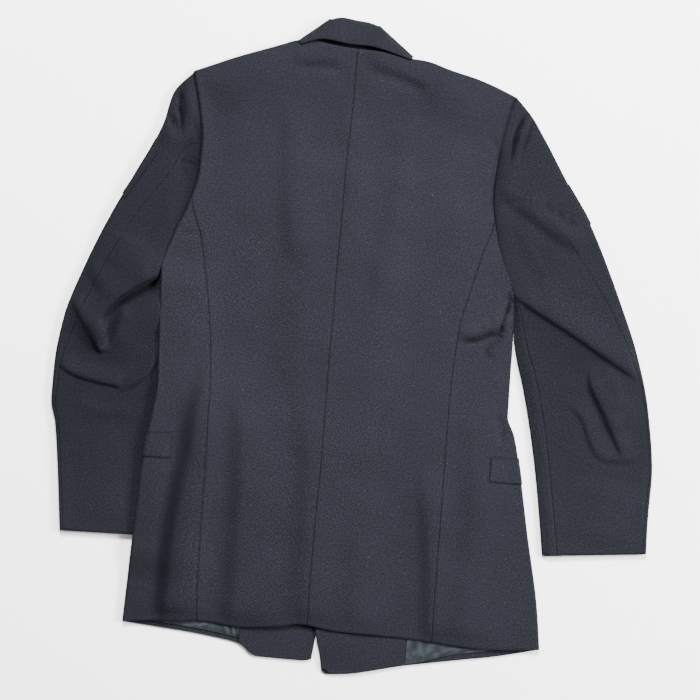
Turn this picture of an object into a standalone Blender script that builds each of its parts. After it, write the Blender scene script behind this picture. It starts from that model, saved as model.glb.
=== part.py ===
"""A military dress tunic, laid face down on a flat surface with its back up.

X runs across the shoulders, +Y towards the collar and +Z up. The surface is Z = 0 and the
origin is under the middle of the laid garment. Every size and table here is in millimetres;
the meshes are made in metres.
"""
import math

import bmesh
import bpy
from mathutils import Vector

MM = 0.001

# Cloth walls
WOOL = 2.0
FACING = 1.4
SATIN = 1.0
PATCH = 1.0

# How the pieces lie: between sewn edges, between layers, and the air a fold keeps inside
SEAM_GAP = 0.3
ARMHOLE_GAP = 0.6
HIDDEN_GAP = 1.0
LAYER_GAP = 0.4
TRIM_GAP = 0.8
AIR = 3.0
TUCKED_AIR = 1.0
DEEPEST = -1.1
FOLD_STEPS = 4

LOWER = WOOL / 2
UPPER = LOWER + WOOL + AIR

# The body: where its seams and side folds stand at each height.
# Above the underarm the side columns are the armhole seams, and above the
# junction the back's own seams run into the armholes.
UNDERARM = 86.0
JUNCTION = 187.0
BODY = (
    # height, left side, left seam, centre seam, right seam, right side
    (-396, -292, -191, -41, 129, 277),
    (-330, -289, -194, -42, 128, 268),
    (-235, -284, -195, -41, 128, 248),
    (-150, -278, -195, -39, 128, 231),
    (-106, -271, -196, -39, 128, 220.5),
    (-78, -268, -196, -39, 128, 209.5),
    (-20, -270, -200, -39, 130, 209),
    (40, -273, -207, -38, 135, 208.5),
    (86, -274.5, -215, -38, 145, 204.5),
    (135, -261, -225, -37, 157, 185),
    (187, -241, -241, -36, 170.5, 170.5),
    (225, -234, -234, -36, 166, 166),
    (265, -233, -233, -35, 169, 169),
    (310, -240, -240, -33, 176, 176),
    (356, -251, -251, -32, 187, 187),
)
LEFT_SIDE, LEFT_SEAM, CENTRE, RIGHT_SEAM, RIGHT_SIDE = 1, 2, 3, 4, 5

# How far each side body reaches under the garment, from its fold to the front's side seam
UNDER_REACH = ((-396, 62), (-100, 62), (20, 44), (86, 9), (112, 0))

# Upper and lower outlines of the body
SHOULDER_LINE = (
    # x, height
    (-254, 356), (-225, 368), (-198, 379), (-148, 397), (-124, 403), (-104, 403), (-70, 403.5),
    (-30, 403.5), (5, 402), (32, 397), (62, 394.5), (98, 384), (131, 376), (158, 367), (188, 354.5),
)
BACK_HEM = (
    (-292, -395), (-235, -389), (-182, -386), (-135, -390), (-84, -386), (-50, -380),
    (-3, -386), (59, -388), (128, -391), (163, -394), (201, -396), (277, -391),
)
FRONT_HEM_LEFT = (
    (-292, -395), (-245, -399), (-199, -403), (-153, -409), (-133, -413),
    (-124, -418), (-117, -424.5), (-106, -429), (-40, -430), (-31, -427),
)
FRONT_HEM_RIGHT = (
    (-19, -440), (-11, -446), (17, -444), (48, -438), (89, -428),
    (132, -420), (171, -413), (217, -405), (277, -391),
)

# The closure's edge up to the break, then the lapels' roll lines
FRONT_EDGE = (
    # height, left front, right front
    (-444, -33, -17), (-420, -31, -21), (-390, -28, -28.8), (-300, -20, -38), (-150, -11, -49),
    (100, -10, -50), (165, -14, -46), (208, -31, -29.5), (280, -60, -6), (352, -94, 21), (400, -109, 43),
)
LAPEL_FOOT = 216.0
LAPEL_EDGE = (
    # height, left lapel, right lapel
    (216, -50, -12), (250, -88, 26), (300, -128, 66), (324, -141, 79), (338, -133, 69), (352, -131, 67),
)
# The seam between lapel and collar on the chest: x, height
GORGE = {"left": ((-141, 327), (-88, 347.8)), "right": ((14, 343.3), (79, 314.0))}

# Things that lie under the fronts, and so lift the cloth over them.
LIFTS = (
    # from x, to x, from height, to height, reach of the slope, lift
    (-330, -122, -198, -104, 45, 3.2),  # left pocket flap
    (84, 280, -198, -104, 45, 3.2),  # right pocket flap
    (-168, 100, 185, 430, 50, 2.6),  # lapels and collar ends
    (-70, 10, -130, 190, 60, 2.6),  # buttons
)
CLOSURE_LIFT = WOOL + 1.0
CLOSURE_EDGES = (-75, 16)
CLOSURE_TOP = 212

# The left sleeve lies under the body's edge
TUCK_LIFT = 5.6
TUCK_EDGE = -236.0
TUCK_SLOPE = 60.0
TUCK_HEIGHTS = (-290, 62)

# Each fold of the back: a soft rise (or a trough, below nought) on a bent line
BODY_FOLDS = (
    # from x, y, through x, y, to x, y, half width, height
    (-225, 318, -190, 345, -150, 362, 34, 4.0),  # left shoulder pad
    (165, 318, 130, 345, 95, 358, 34, 4.0),  # right shoulder pad
    (-256, -110, -262, -250, -270, -392, 20, 3.6),
    (-200, -60, -204, -230, -200, -386, 21, 5.2),
    (-118, -140, -110, -260, -104, -386, 28, 3.6),
    (-38, -150, -36, -270, -36, -382, 24, 2.6),
    (66, -150, 72, -270, 70, -388, 34, 3.6),
    (150, -70, 156, -230, 162, -394, 28, 3.4),
    (-100, 180, -150, 220, -190, 300, 45, 1.4),
    (35, 180, 80, 220, 120, 300, 45, 1.4),
    (130, 18, 160, 20, 196, 34, 18, 2.2),
)

# The sleeves: the inner and the outer edge at each station, from the armhole to the cuff
SLEEVE_LEFT = (
    # station, inner x, inner y, outer x, outer y, forearm seam, hindarm seam (shares of the width)
    (0, -275.3, 87, -255, 355.5, 0.04, 0.66),
    (0.5, -276.5, 80, -278, 327, 0.05, 0.73),
    (1, -277.6, 72, -288, 284, 0.06, 0.78),
    (2, -278.2, 54, -319, 214, 0.08, 0.80),
    (3, -262, 34, -345, 163, 0.10, 0.81),
    (4, -249, 6, -376.5, 90, 0.11, 0.85),
    (5, -244, -30, -403, 8, 0.12, 0.90),
    (6, -242, -75, -410.5, -55, 0.12, 0.94),
    (6.5, -242, -98, -411, -98, 0.12, 0.95),
    (7, -242, -120, -403.5, -130, 0.12, 0.96),
    (8, -243, -170, -396, -186, 0.13, 0.96),
    (9, -244, -223, -391, -231, 0.13, 0.96),
    (10, -245, -276, -386, -278, 0.14, 0.96),
)
SLEEVE_RIGHT = (
    (0, 205.3, 87, 189, 353.5, 0.04, 0.60),
    (0.5, 206.5, 80, 212, 330, 0.05, 0.63),
    (1, 208.0, 74, 230, 303, 0.06, 0.66),
    (2, 210.2, 62, 268, 241, 0.08, 0.70),
    (3, 211.0, 46, 298.5, 195, 0.09, 0.76),
    (4, 211.6, 26, 330, 133, 0.10, 0.84),
    (5, 215, 2, 352, 84, 0.11, 0.90),
    (6, 224, -28, 378, 20, 0.12, 0.94),
    (7, 237, -78, 399, -55, 0.12, 0.96),
    (8, 252, -150, 411, -145, 0.12, 0.96),
    (9, 262, -210, 410, -200, 0.13, 0.96),
    (10, 270, -263.5, 411, -250.5, 0.14, 0.96),
)
STATIONS = (0, 0.5, 1, 1.5, 2, 2.5, 3, 3.5, 4, 4.5, 5, 5.5, 6, 6.5, 7, 8, 9, 10)
SLEEVE_FOLDS_LEFT = (
    (-285, 92, -318, 70, -352, 36, 13, 5.5),  # the upper sleeve's fold over the elbow
    (-290, 50, -322, 34, -345, 4, 12, -1.6),
    (-388, 44, -378, 14, -358, -18, 13, 2.6),
    (-392, -48, -366, -50, -338, -52, 14, 3.0),
    (-296, -60, -312, -76, -338, -80, 12, 2.6),
    (-330, -130, -328, -200, -330, -270, 30, 2.0),
    (-322, 130, -330, 110, -345, 84, 24, 1.6),
)
SLEEVE_FOLDS_RIGHT = (
    (216, 92, 258, 64, 318, 36, 14, 5.5),
    (228, 56, 268, 34, 316, 12, 12, -1.6),
    (322, -6, 346, -50, 366, -104, 13, 3.0),
    (300, -20, 322, -66, 342, -96, 11, -1.6),
    (330, -112, 356, -120, 392, -114, 12, 2.4),
    (196, 218, 244, 184, 300, 152, 13, 2.4),
    (345, -150, 345, -200, 346, -246, 34, 2.0),
)
PATCH_STATIONS = {"left": (1.5, 2, 2.5), "right": (2, 2.5, 3)}
PATCH_SHARES = (0.90, 0.55)
PATCH_LIFT = PATCH + TRIM_GAP

# Pocket flaps: where each ends on the back, and how long it was cut
FLAP = WOOL
FLAP_TOP = -134.0
FLAP_DEPTH = 35.0
FLAP_END = {"left": -245.0, "right": 190.0}
FLAP_LENGTH = 160.0

# The collar: its fold lines where it turns over each shoulder, from roll to free edge
COLLAR_FOLD_LEFT = ((-72, 442), (-113, 409))
COLLAR_FOLD_RIGHT = ((-4, 437.5), (45, 399))
COLLAR_BACK = (
    # roll x, roll y, free edge x, free edge y
    (-55, 444.3, -76, 412.5), (-36, 442.5, -42, 410.5), (-18, 440, -8, 409),
)
COLLAR_END = 92.0
COLLAR_END_FREE = 73.0

# What shows inside the fronts below the back's hem
LINING_MARGIN = 7.0
FACING_MARGIN = 2.0
INSIDE_TOP = -345.0
FACING_LEFT_X = (-131.5, -36.0)
LINING_LEFT_X = (-258.0, -132.5)
FACING_RIGHT_X = (-14.0, 95.0)
LINING_RIGHT_X = (96.0, 246.0)

BUTTON_X = -30.0
BUTTON_HEIGHTS = (150, 70, -10, -90)
BUTTON_RADIUS = 10.0
BUTTON_THICK = 2.0

COLOURS = {
    # name: red, green, blue, roughness
    "wool": (0.035, 0.040, 0.055, 0.85),
    "lining": (0.055, 0.075, 0.085, 0.35),
    "button": (0.03, 0.032, 0.04, 0.4),
}

# Heights where the search for an outline starts, and how far hidden pieces stop short of it.
HEM_LEVEL = -395
SHOULDER_LEVEL = 375
GORGE_LEVEL = 345
NECK_LEVEL = 400
SHOULDER_TURN = 1.9
FRONT_SHORTFALL = 5.0

# How softly the layers rise over the closure and the tucked sleeve.
TUCK_END_SLOPE = 48
CLOSURE_FOOT = -4
CLOSURE_SLOPE = 70
CLOSURE_LOW = -400
CLOSURE_END_SLOPE = 40
BACK_SLOPE = 60
BACK_EASE = 15
SLEEVE_WIDTH = 150

# The collar's stand: places along the neck seam and the roll above each, and its drop below the fall.
STAND_PLACES = ((-84, -62), (-60, -48), (-35, -36), (-12, -22), (12, -10))
STAND_SHORTFALL = 4
STAND_DROPS = (1.6, 3.2)
BUTTON_ROUND = 0.5


def ease(share):
    """Nought to one, with level ends."""
    share = min(1.0, max(0.0, share))
    return share * share * (3.0 - 2.0 * share)


def blend(start, end, share):
    return start + (end - start) * share


def column(rows, index, at):
    """A table's column on a smooth curve through its rows, where the first column is `at`."""
    keys = [row[0] for row in rows]
    values = [row[index] for row in rows]
    if at <= keys[0]:
        return values[0]
    if at >= keys[-1]:
        return values[-1]
    low = max(n for n, key in enumerate(keys) if key <= at)
    rises = [(values[n + 1] - values[n]) / (keys[n + 1] - keys[n]) for n in range(len(keys) - 1)]

    def slope(n):
        if n in (0, len(rises)):
            return rises[min(n, len(rises) - 1)]
        before, after = rises[n - 1], rises[n]
        if before * after <= 0:
            return 0.0
        return 2 * before * after / (before + after)

    span = keys[low + 1] - keys[low]
    t = (at - keys[low]) / span
    rise = values[low + 1] - values[low]
    start, end = slope(low) * span, slope(low + 1) * span
    return values[low] + t * start + t * t * (3 * rise - 2 * start - end) + t * t * t * (start + end - 2 * rise)


def plateau(at, start, end, slope):
    """One between start and end, sloping to nought outside."""
    return ease((at - start) / slope + 1) * ease((end - at) / slope + 1)


def folds_at(x, y, folds):
    """What the folds in a table add to the cloth's height at a point."""
    height = 0.0
    for x0, y0, xm, ym, x1, y1, half, rise in folds:
        nearest = 1e9
        for n in range(13):
            t = n / 12
            first, middle, last = (2 * t - 1) * (t - 1), 4 * t * (1 - t), t * (2 * t - 1)
            dx = x - (first * x0 + middle * xm + last * x1)
            dy = y - (first * y0 + middle * ym + last * y1)
            nearest = min(nearest, dx * dx + dy * dy)
        height += rise * math.exp(-nearest / half ** 2)
    return height


def tuck(x, y):
    """How far the left sleeve lifts the body that lies over it."""
    low, high = TUCK_HEIGHTS
    return TUCK_LIFT * plateau(y, low, high, TUCK_END_SLOPE) * (1 - ease((x - TUCK_EDGE) / TUCK_SLOPE))


def lift(x, y):
    """How far all that lies under the fronts lifts them."""
    rise = 0.0
    for x0, x1, y0, y1, slope, height in LIFTS:
        rise = max(rise, height * plateau(x, x0, x1, slope) * plateau(y, y0, y1, slope))
    return rise + tuck(x, y)


def lower(x, y):
    """Height of the middle of the cloth that lies underneath."""
    return LOWER + lift(x, y)


def lower_right(x, y):
    """The right front lies over the left one at the closure."""
    across = 1 - ease((x - CLOSURE_FOOT) / CLOSURE_SLOPE)
    return lower(x, y) + CLOSURE_LIFT * across * plateau(y, CLOSURE_LOW, CLOSURE_TOP, CLOSURE_END_SLOPE)


def upper(x, y):
    """Height of the middle of the back's cloth."""
    west, east = CLOSURE_EDGES
    along = plateau(y, CLOSURE_LOW, CLOSURE_TOP + BACK_EASE, CLOSURE_END_SLOPE)
    closure = CLOSURE_LIFT * plateau(x, west, east, BACK_SLOPE) * along
    height = UPPER + closure + lift(x, y)
    return height + max(folds_at(x, y, BODY_FOLDS), DEEPEST)


def make_material(name):
    red, green, blue, roughness = COLOURS[name]
    material = bpy.data.materials.new(name)
    material.use_nodes = True
    shader = material.node_tree.nodes["Principled BSDF"]
    shader.inputs["Base Color"].default_value = (red, green, blue, 1)
    shader.inputs["Roughness"].default_value = roughness
    shader.inputs["Metallic"].default_value = 0.0
    return material


def cloth(name, rows, thickness, material):
    """A closed wall of cloth. Each row holds (middle point, direction of the wall's thickness)."""
    mesh = bmesh.new()
    faces = []
    for side in (0.5, -0.5):
        reach = thickness * side
        faces.append([[mesh.verts.new((point + way * reach) * MM) for point, way in row] for row in rows])
    last_row, last_column = len(rows) - 1, len(rows[0]) - 1
    for i in range(last_row):
        for j in range(last_column):
            for grid in faces:
                mesh.faces.new((grid[i][j], grid[i][j + 1], grid[i + 1][j + 1], grid[i + 1][j]))
    over, under = faces
    for i in range(last_row):
        for j in (0, last_column):
            mesh.faces.new((over[i][j], over[i + 1][j], under[i + 1][j], under[i][j]))
    for j in range(last_column):
        for i in (0, last_row):
            mesh.faces.new((over[i][j], over[i][j + 1], under[i][j + 1], under[i][j]))
    bmesh.ops.recalc_face_normals(mesh, faces=mesh.faces)
    return finish(name, mesh, material)


def finish(name, mesh, material):
    data = bpy.data.meshes.new(name)
    mesh.to_mesh(data)
    mesh.free()
    data.shade_smooth()
    data.set_sharp_from_angle(angle=math.radians(50))
    data.materials.append(make_material(material))
    made = bpy.data.objects.new(name, data)
    bpy.context.scene.collection.objects.link(made)
    return made


UP = Vector((0, 0, 1))
DOWN = Vector((0, 0, -1))


def flat(x, y, z, way=UP):
    """A place on a flat layer, and the way its outside faces."""
    return Vector((x, y, z)), way


def turned(edge, outward, high, low, thickness=WOOL):
    """The rounded fold at a cloth's edge, from its upper to its lower level, as row entries.

    `edge` is the outermost place in plan and `outward` the way it faces.
    """
    radius = (high - low) / 2
    centre = edge - outward * (radius + thickness / 2)
    entries = []
    for n in range(FOLD_STEPS + 1):
        angle = math.pi * (0.5 - n / FOLD_STEPS)
        way = outward * math.cos(angle) + UP * math.sin(angle)
        entries.append((centre + UP * (high + low) / 2 + way * radius, way))
    return entries


def back(side, name):
    """Half the back, from the hem to the shoulder, whose edge is turned down over the front's."""
    seam, edge, away = (LEFT_SEAM, LEFT_SIDE, -1) if side == "left" else (RIGHT_SEAM, RIGHT_SIDE, 1)
    low_rows, high_rows, columns = 20, 9, 6
    rows = []
    for i in range(low_rows + high_rows + 1):
        row = []
        for j in range(columns + 1):
            share = j / columns
            zone = i / low_rows if i <= low_rows else (i - low_rows) / high_rows
            ends = (HEM_LEVEL, JUNCTION) if i <= low_rows else (JUNCTION, SHOULDER_LEVEL)
            x, y = 0.0, blend(*ends, zone)
            for _ in range(4):
                outer = column(BODY, seam if y < JUNCTION else edge, y) - away * SEAM_GAP / 2
                centre = column(BODY, CENTRE, y) + away * SEAM_GAP / 2
                x = blend(outer, centre, share)
                if i <= low_rows:
                    y = blend(column(BACK_HEM, 1, x), JUNCTION, zone)
                else:
                    y = blend(JUNCTION, column(SHOULDER_LINE, 1, x) - SHOULDER_TURN - WOOL / 2, zone)
            row.append(flat(x, y, upper(x, y)))
        rows.append(row)
    for angle, drop in ((45, 0.0), (0, 0.0), (0, 1.0)):
        row = []
        for point, _ in rows[low_rows + high_rows]:
            slope = (column(SHOULDER_LINE, 1, point.x + 2) - column(SHOULDER_LINE, 1, point.x - 2)) / 4
            outward = Vector((-slope * 0.5, 1, 0)).normalized()
            way = outward * math.cos(math.radians(angle)) + UP * math.sin(math.radians(angle))
            bend = point - UP * SHOULDER_TURN + way * SHOULDER_TURN
            foot = lower(point.x, point.y) - LOWER + LAYER_GAP
            bend.z = blend(bend.z, foot, drop)
            row.append((bend, way))
        rows.append(row)
    cloth(name, rows, WOOL, "wool")


def side_body(side, name):
    """The side body: down from the princess seam, round the side fold and under the garment."""
    seam, edge, away = (LEFT_SEAM, LEFT_SIDE, -1) if side == "left" else (RIGHT_SEAM, RIGHT_SIDE, 1)
    row_count, top_columns, under_columns = 20, 5, 3
    outward = Vector((away, 0, 0))
    front_hem = FRONT_HEM_LEFT if side == "left" else FRONT_HEM_RIGHT
    rows = []
    for i in range(row_count + 1):
        v = i / row_count
        hem_seam, hem_side = column(BODY, seam, HEM_LEVEL), column(BODY, edge, HEM_LEVEL)
        seam_y = blend(column(BACK_HEM, 1, hem_seam), JUNCTION, v)
        side_y = blend(column(BACK_HEM, 1, hem_side), UNDERARM - ARMHOLE_GAP, v)
        seam_x = column(BODY, seam, seam_y) + away * SEAM_GAP / 2
        side_x = column(BODY, edge, side_y)
        high, low = upper(side_x, side_y), lower(side_x, side_y)
        fold = turned(Vector((side_x, side_y, 0)), outward, high, low)
        inset_x = fold[0][0].x
        row = []
        for j in range(top_columns):
            u = j / top_columns
            hem_x = blend(hem_seam + away * SEAM_GAP / 2, hem_side - away * 3, u)
            arm_y = blend(JUNCTION, UNDERARM - ARMHOLE_GAP, u)
            arm_x = column(BODY, edge, arm_y) - away * SEAM_GAP / 2
            straight_hem = blend(column(BACK_HEM, 1, hem_seam), column(BACK_HEM, 1, hem_side), u)
            straight_arm = blend(column(BODY, edge, JUNCTION), column(BODY, edge, UNDERARM), u)
            x = blend(seam_x, inset_x, u) + (arm_x - straight_arm) * v
            y = blend(seam_y, side_y, u) + (column(BACK_HEM, 1, hem_x) - straight_hem) * (1 - v)
            row.append(flat(x, y, upper(x, y)))
        row += fold
        for j in range(1, under_columns + 1):
            x, y = inset_x, side_y
            for _ in range(4):
                seam_under = column(BODY, edge, y) - away * (column(UNDER_REACH, 1, y) - SEAM_GAP / 2)
                x = blend(inset_x, seam_under, j / under_columns)
                y = blend(column(front_hem, 1, x), UNDERARM - ARMHOLE_GAP, v)
            row.append(flat(x, y, lower(x, y), DOWN))
        rows.append(row)
    cloth(name, rows, WOOL, "wool")


def front_outer(side, y):
    """The front's outer seam: the side body's below the underarm, the armhole's above it."""
    edge, away = (LEFT_SIDE, -1) if side == "left" else (RIGHT_SIDE, 1)
    gap = SEAM_GAP / 2 if y < UNDERARM else HIDDEN_GAP
    return column(BODY, edge, y) - away * (column(UNDER_REACH, 1, y) + gap)


def front(side, name):
    """One front, plain, from the hem to the shoulder and in to the closure and the roll line."""
    edge_column = 1 if side == "left" else 2
    hem = FRONT_HEM_LEFT if side == "left" else FRONT_HEM_RIGHT
    height = lower if side == "left" else lower_right
    low_rows, high_rows, columns = 20, 10, 7
    rows = []
    for i in range(low_rows + high_rows + 1):
        zone = i / low_rows if i <= low_rows else (i - low_rows) / high_rows
        row = []
        for j in range(columns + 1):
            ends = (HEM_LEVEL, UNDERARM) if i <= low_rows else (UNDERARM, SHOULDER_LEVEL)
            x, y = 0.0, blend(*ends, zone)
            for _ in range(5):
                x = blend(front_outer(side, y), column(FRONT_EDGE, edge_column, y), j / columns)
                if i <= low_rows:
                    y = blend(column(hem, 1, x), UNDERARM - ARMHOLE_GAP, zone)
                else:
                    y = blend(UNDERARM - ARMHOLE_GAP, column(SHOULDER_LINE, 1, x) - FRONT_SHORTFALL, zone)
            row.append(flat(x, y, height(x, y)))
        rows.append(row)
    cloth(name, rows, WOOL, "wool")


def lapel(side, name):
    """The lapel, turned back flat under the front from its roll line up to the gorge."""
    edge_column = 1 if side == "left" else 2
    row_count, columns = 6, 3
    rows = []
    for i in range(row_count + 1):
        row = []
        for j in range(columns + 1):
            y = blend(LAPEL_FOOT, GORGE_LEVEL, i / row_count)
            for _ in range(4):
                roll = column(FRONT_EDGE, edge_column, y)
                edge = column(LAPEL_EDGE, edge_column, y)
                x = blend(roll, edge, j / columns)
                y = blend(LAPEL_FOOT, column(GORGE[side], 1, x) - 0.5, i / row_count)
            row.append(flat(x, y, LOWER))
        rows.append(row)
    cloth(name, rows, WOOL, "wool")


def inside_strip(name, span, hem, height, margin, thickness, material):
    """Facing or lining, where it shows on the inside of a front above the front's hem."""
    row_count, columns = 3, 8
    rows = []
    for i in range(row_count + 1):
        row = []
        for j in range(columns + 1):
            x = blend(span[0], span[1], j / columns)
            y = blend(column(hem, 1, x) + margin, INSIDE_TOP, i / row_count)
            row.append(flat(x, y, height(x, y) + WOOL / 2 + LAYER_GAP + thickness / 2))
        rows.append(row)
    cloth(name, rows, thickness, material)


def sleeve_plan(side, station, share):
    """A place in plan on a sleeve: across it by share, from its inner to its outer edge."""
    table, edge, away = (SLEEVE_LEFT, LEFT_SIDE, -1) if side == "left" else (SLEEVE_RIGHT, RIGHT_SIDE, 1)

    def ends(at):
        inner = Vector((column(table, 1, at), column(table, 2, at), 0))
        outer = Vector((column(table, 3, at), column(table, 4, at), 0))
        return inner, outer

    inner, outer = ends(station)
    first, last = ends(0)
    chord = first.lerp(last, share)
    armhole_x = column(BODY, edge, chord.y) + away * (ARMHOLE_GAP - SEAM_GAP / 2)
    bow = (armhole_x - chord.x) * max(0.0, 1 - station / 3) ** 2
    return inner.lerp(outer, share) + Vector((bow, 0, 0))


def sleeve_lift(side, station, share):
    """How far the sewn patch lifts the sleeve that lies on it."""
    first, last = PATCH_STATIONS[side][0], PATCH_STATIONS[side][-1]
    return PATCH_LIFT * plateau(station, first - 0.5, last + 0.5, 0.8) * ease((share - 0.3) / 0.15)


def sleeve_upper(side, station, share):
    place = sleeve_plan(side, station, share)
    folds = SLEEVE_FOLDS_LEFT if side == "left" else SLEEVE_FOLDS_RIGHT
    free = ease((share - 0.30) / 0.14) if side == "left" else ease(share / 0.1)
    air = blend(TUCKED_AIR, AIR, free)
    crease = max(folds_at(place.x, place.y, folds), -1.6) * free * ease((1.0 - share) / 0.08)
    height = LOWER + WOOL + air + sleeve_lift(side, station, share) + crease
    joined = 1 - ease(station / 1.3)
    armhole = sleeve_plan(side, 0, share)
    return blend(height, upper(armhole.x, armhole.y), joined)


def sleeve_lower(side, station, share):
    return LOWER + sleeve_lift(side, station, share)


def sleeve_ring(side, station):
    """The layers and folds of one section: functions of share for each layer, and both folds."""
    inner = sleeve_plan(side, station, 0)
    outer = sleeve_plan(side, station, 1)
    across = outer - inner
    width = across.length
    way = across.normalized()
    inner_fold = turned(inner, -way, sleeve_upper(side, station, 0), sleeve_lower(side, station, 0))
    outer_fold = turned(outer, way, sleeve_upper(side, station, 1), sleeve_lower(side, station, 1))
    start = (sleeve_upper(side, station, 0) - sleeve_lower(side, station, 0) + WOOL) / 2 / width
    end = 1 - (sleeve_upper(side, station, 1) - sleeve_lower(side, station, 1) + WOOL) / 2 / width

    def layer(height, share):
        share = min(end, max(start, share))
        place = sleeve_plan(side, station, share)
        way = UP if height is sleeve_upper else DOWN
        return flat(place.x, place.y, height(side, station, share), way)

    return layer, inner_fold, outer_fold, start, end


def sleeves(side):
    """The two pieces of a sleeve: the under sleeve shows on top, the top sleeve wraps round it."""
    table = SLEEVE_LEFT if side == "left" else SLEEVE_RIGHT
    under_rows, top_rows = [], []
    for station in STATIONS:
        layer, inner_fold, outer_fold, start, end = sleeve_ring(side, station)
        forearm, hindarm = column(table, 5, station), column(table, 6, station)
        forearm = max(forearm, start + 0.01)
        hindarm = min(hindarm, end - 0.01)
        gap = SEAM_GAP / 2 / SLEEVE_WIDTH
        shares = [blend(forearm + gap, hindarm - gap, n / 7) for n in range(8)]
        under_rows.append([layer(sleeve_upper, share) for share in shares])
        row = [layer(sleeve_upper, blend(hindarm + gap, end, n / 2)) for n in range(2)]
        row += outer_fold
        row += [layer(sleeve_lower, blend(end, start, n / 5)) for n in range(1, 5)]
        row += reversed(inner_fold)
        row.append(layer(sleeve_upper, forearm - gap))
        top_rows.append(row)
    cloth("under_sleeve_" + side, under_rows, WOOL, "wool")
    cloth("top_sleeve_" + side, top_rows, WOOL, "wool")


def sleeve_patch(side, name):
    """A plain patch sewn round the sleeve's outer edge, made from the sleeve's points, moved out."""
    out = WOOL / 2 + TRIM_GAP + PATCH / 2
    rows = []
    for station in PATCH_STATIONS[side]:
        layer, _, outer_fold, _, end = sleeve_ring(side, station)
        row = [layer(sleeve_upper, blend(PATCH_SHARES[0], end, k / 2)) for k in range(2)]
        row += outer_fold
        row += [layer(sleeve_lower, blend(end, PATCH_SHARES[1], k / 4)) for k in range(1, 5)]
        rows.append([(point + way * out, way) for point, way in row])
    cloth(name, rows, PATCH, "wool")


def pocket_flap(side, name):
    """A hip pocket flap, from its end on the back, round the side fold and under the front."""
    edge, away = (LEFT_SIDE, -1) if side == "left" else (RIGHT_SIDE, 1)
    out = WOOL / 2 + TRIM_GAP + FLAP / 2
    outward = Vector((away, 0, 0))
    end_x = FLAP_END[side]
    middle_x = column(BODY, edge, FLAP_TOP - FLAP_DEPTH / 2)
    under_end = middle_x - away * (FLAP_LENGTH - abs(middle_x - end_x))
    rows = []
    for n in range(4):
        y = FLAP_TOP - FLAP_DEPTH * n / 3
        side_x = column(BODY, edge, y)
        high, low = upper(side_x, y), lower(side_x, y)
        fold = turned(Vector((side_x, y, 0)), outward, high, low)
        row = []
        for k in range(3):
            x = blend(end_x, fold[0][0].x, k / 3)
            row.append((Vector((x, y, upper(x, y) + out)), UP))
        row += [(point + way * out, way) for point, way in fold]
        for k in range(1, 5):
            x = blend(fold[-1][0].x, under_end, k / 4)
            row.append((Vector((x, y, lower(x, y) - out)), DOWN))
        rows.append(row)
    cloth(name, rows, FLAP, "wool")


def collar_fall(name):
    """The collar's fall: across the back of the neck, turned over at each shoulder to the gorge."""
    def top(x, y):
        return upper(x, min(y, NECK_LEVEL)) + WOOL + LAYER_GAP

    stations = []
    ends = []
    for fold, sign in ((COLLAR_FOLD_LEFT, 1), (COLLAR_FOLD_RIGHT, -1)):
        roll, free = Vector((*fold[0], 0)), Vector((*fold[1], 0))
        line = (free - roll).normalized()
        outward = Vector((line.y, -line.x, 0)) * sign
        along = Vector((-sign, 0, 0))
        down = line * (2 * along.dot(line)) - along
        high = top(free.x + 6 * sign, NECK_LEVEL)
        turns = []
        for v in range(4):
            turns.append(turned(roll.lerp(free, v / 3), outward, high, LOWER))
        folded = [[turns[v][n] for v in range(4)] for n in range(FOLD_STEPS + 1)]
        tail = []
        for share in (0.34, 0.67, 1.0):
            reach = [blend(COLLAR_END, COLLAR_END_FREE, v / 3) * share for v in range(4)]
            tail.append([flat(*(folded[-1][v][0] + down * reach[v]).xy, LOWER, DOWN) for v in range(4)])
        ends.append((folded, tail))
    left, left_tail = ends[0]
    right, right_tail = ends[1]
    stations += reversed(left_tail)
    stations += reversed(left)
    for roll_x, roll_y, free_x, free_y in COLLAR_BACK:
        row = []
        for v in range(4):
            x, y = blend(roll_x, free_x, v / 3), blend(roll_y, free_y, v / 3)
            row.append(flat(x, y, top(x, y)))
        stations.append(row)
    stations += right
    stations += right_tail
    cloth(name, stations, WOOL, "wool")


def collar_stand(name):
    """The collar's stand: from the neck seam up under the fall to its roll line."""
    rows = []
    for x_seam, x_roll in STAND_PLACES:
        seam_y = column(SHOULDER_LINE, 1, x_seam) + 2 * SEAM_GAP
        roll_y = column(tuple((row[0], row[1]) for row in COLLAR_BACK), 1, x_roll) - STAND_SHORTFALL
        row = []
        for n in range(4):
            share = n / 3
            x, y = blend(x_seam, x_roll, share), blend(seam_y, roll_y, share)
            height = upper(x, NECK_LEVEL) - blend(*STAND_DROPS, share)
            row.append(flat(x, y, height))
        rows.append(row)
    cloth(name, rows, WOOL, "wool")


def button(number, height):
    """A plain button with a rounded rim, under the left front."""
    mesh = bmesh.new()
    bmesh.ops.create_cone(
        mesh, cap_ends=True, segments=16, radius1=BUTTON_RADIUS * MM, radius2=BUTTON_RADIUS * MM,
        depth=BUTTON_THICK * MM)
    rim = [edge for edge in mesh.edges if abs(edge.verts[0].co.z - edge.verts[1].co.z) < 0.1 * MM]
    bmesh.ops.bevel(mesh, geom=rim, offset=BUTTON_ROUND * MM, segments=1, affect="EDGES")
    made = finish(f"button_{number}", mesh, "button")
    made.location = (BUTTON_X * MM, height * MM, BUTTON_THICK / 2 * MM)


for old in list(bpy.data.objects):
    bpy.data.objects.remove(old)

for hand in ("left", "right"):
    back(hand, "back_" + hand)
    side_body(hand, "side_" + hand)
    front(hand, "front_" + hand)
    lapel(hand, "lapel_" + hand)
    sleeves(hand)
    sleeve_patch(hand, "sleeve_patch_" + hand)
    pocket_flap(hand, "pocket_flap_" + hand)

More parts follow.
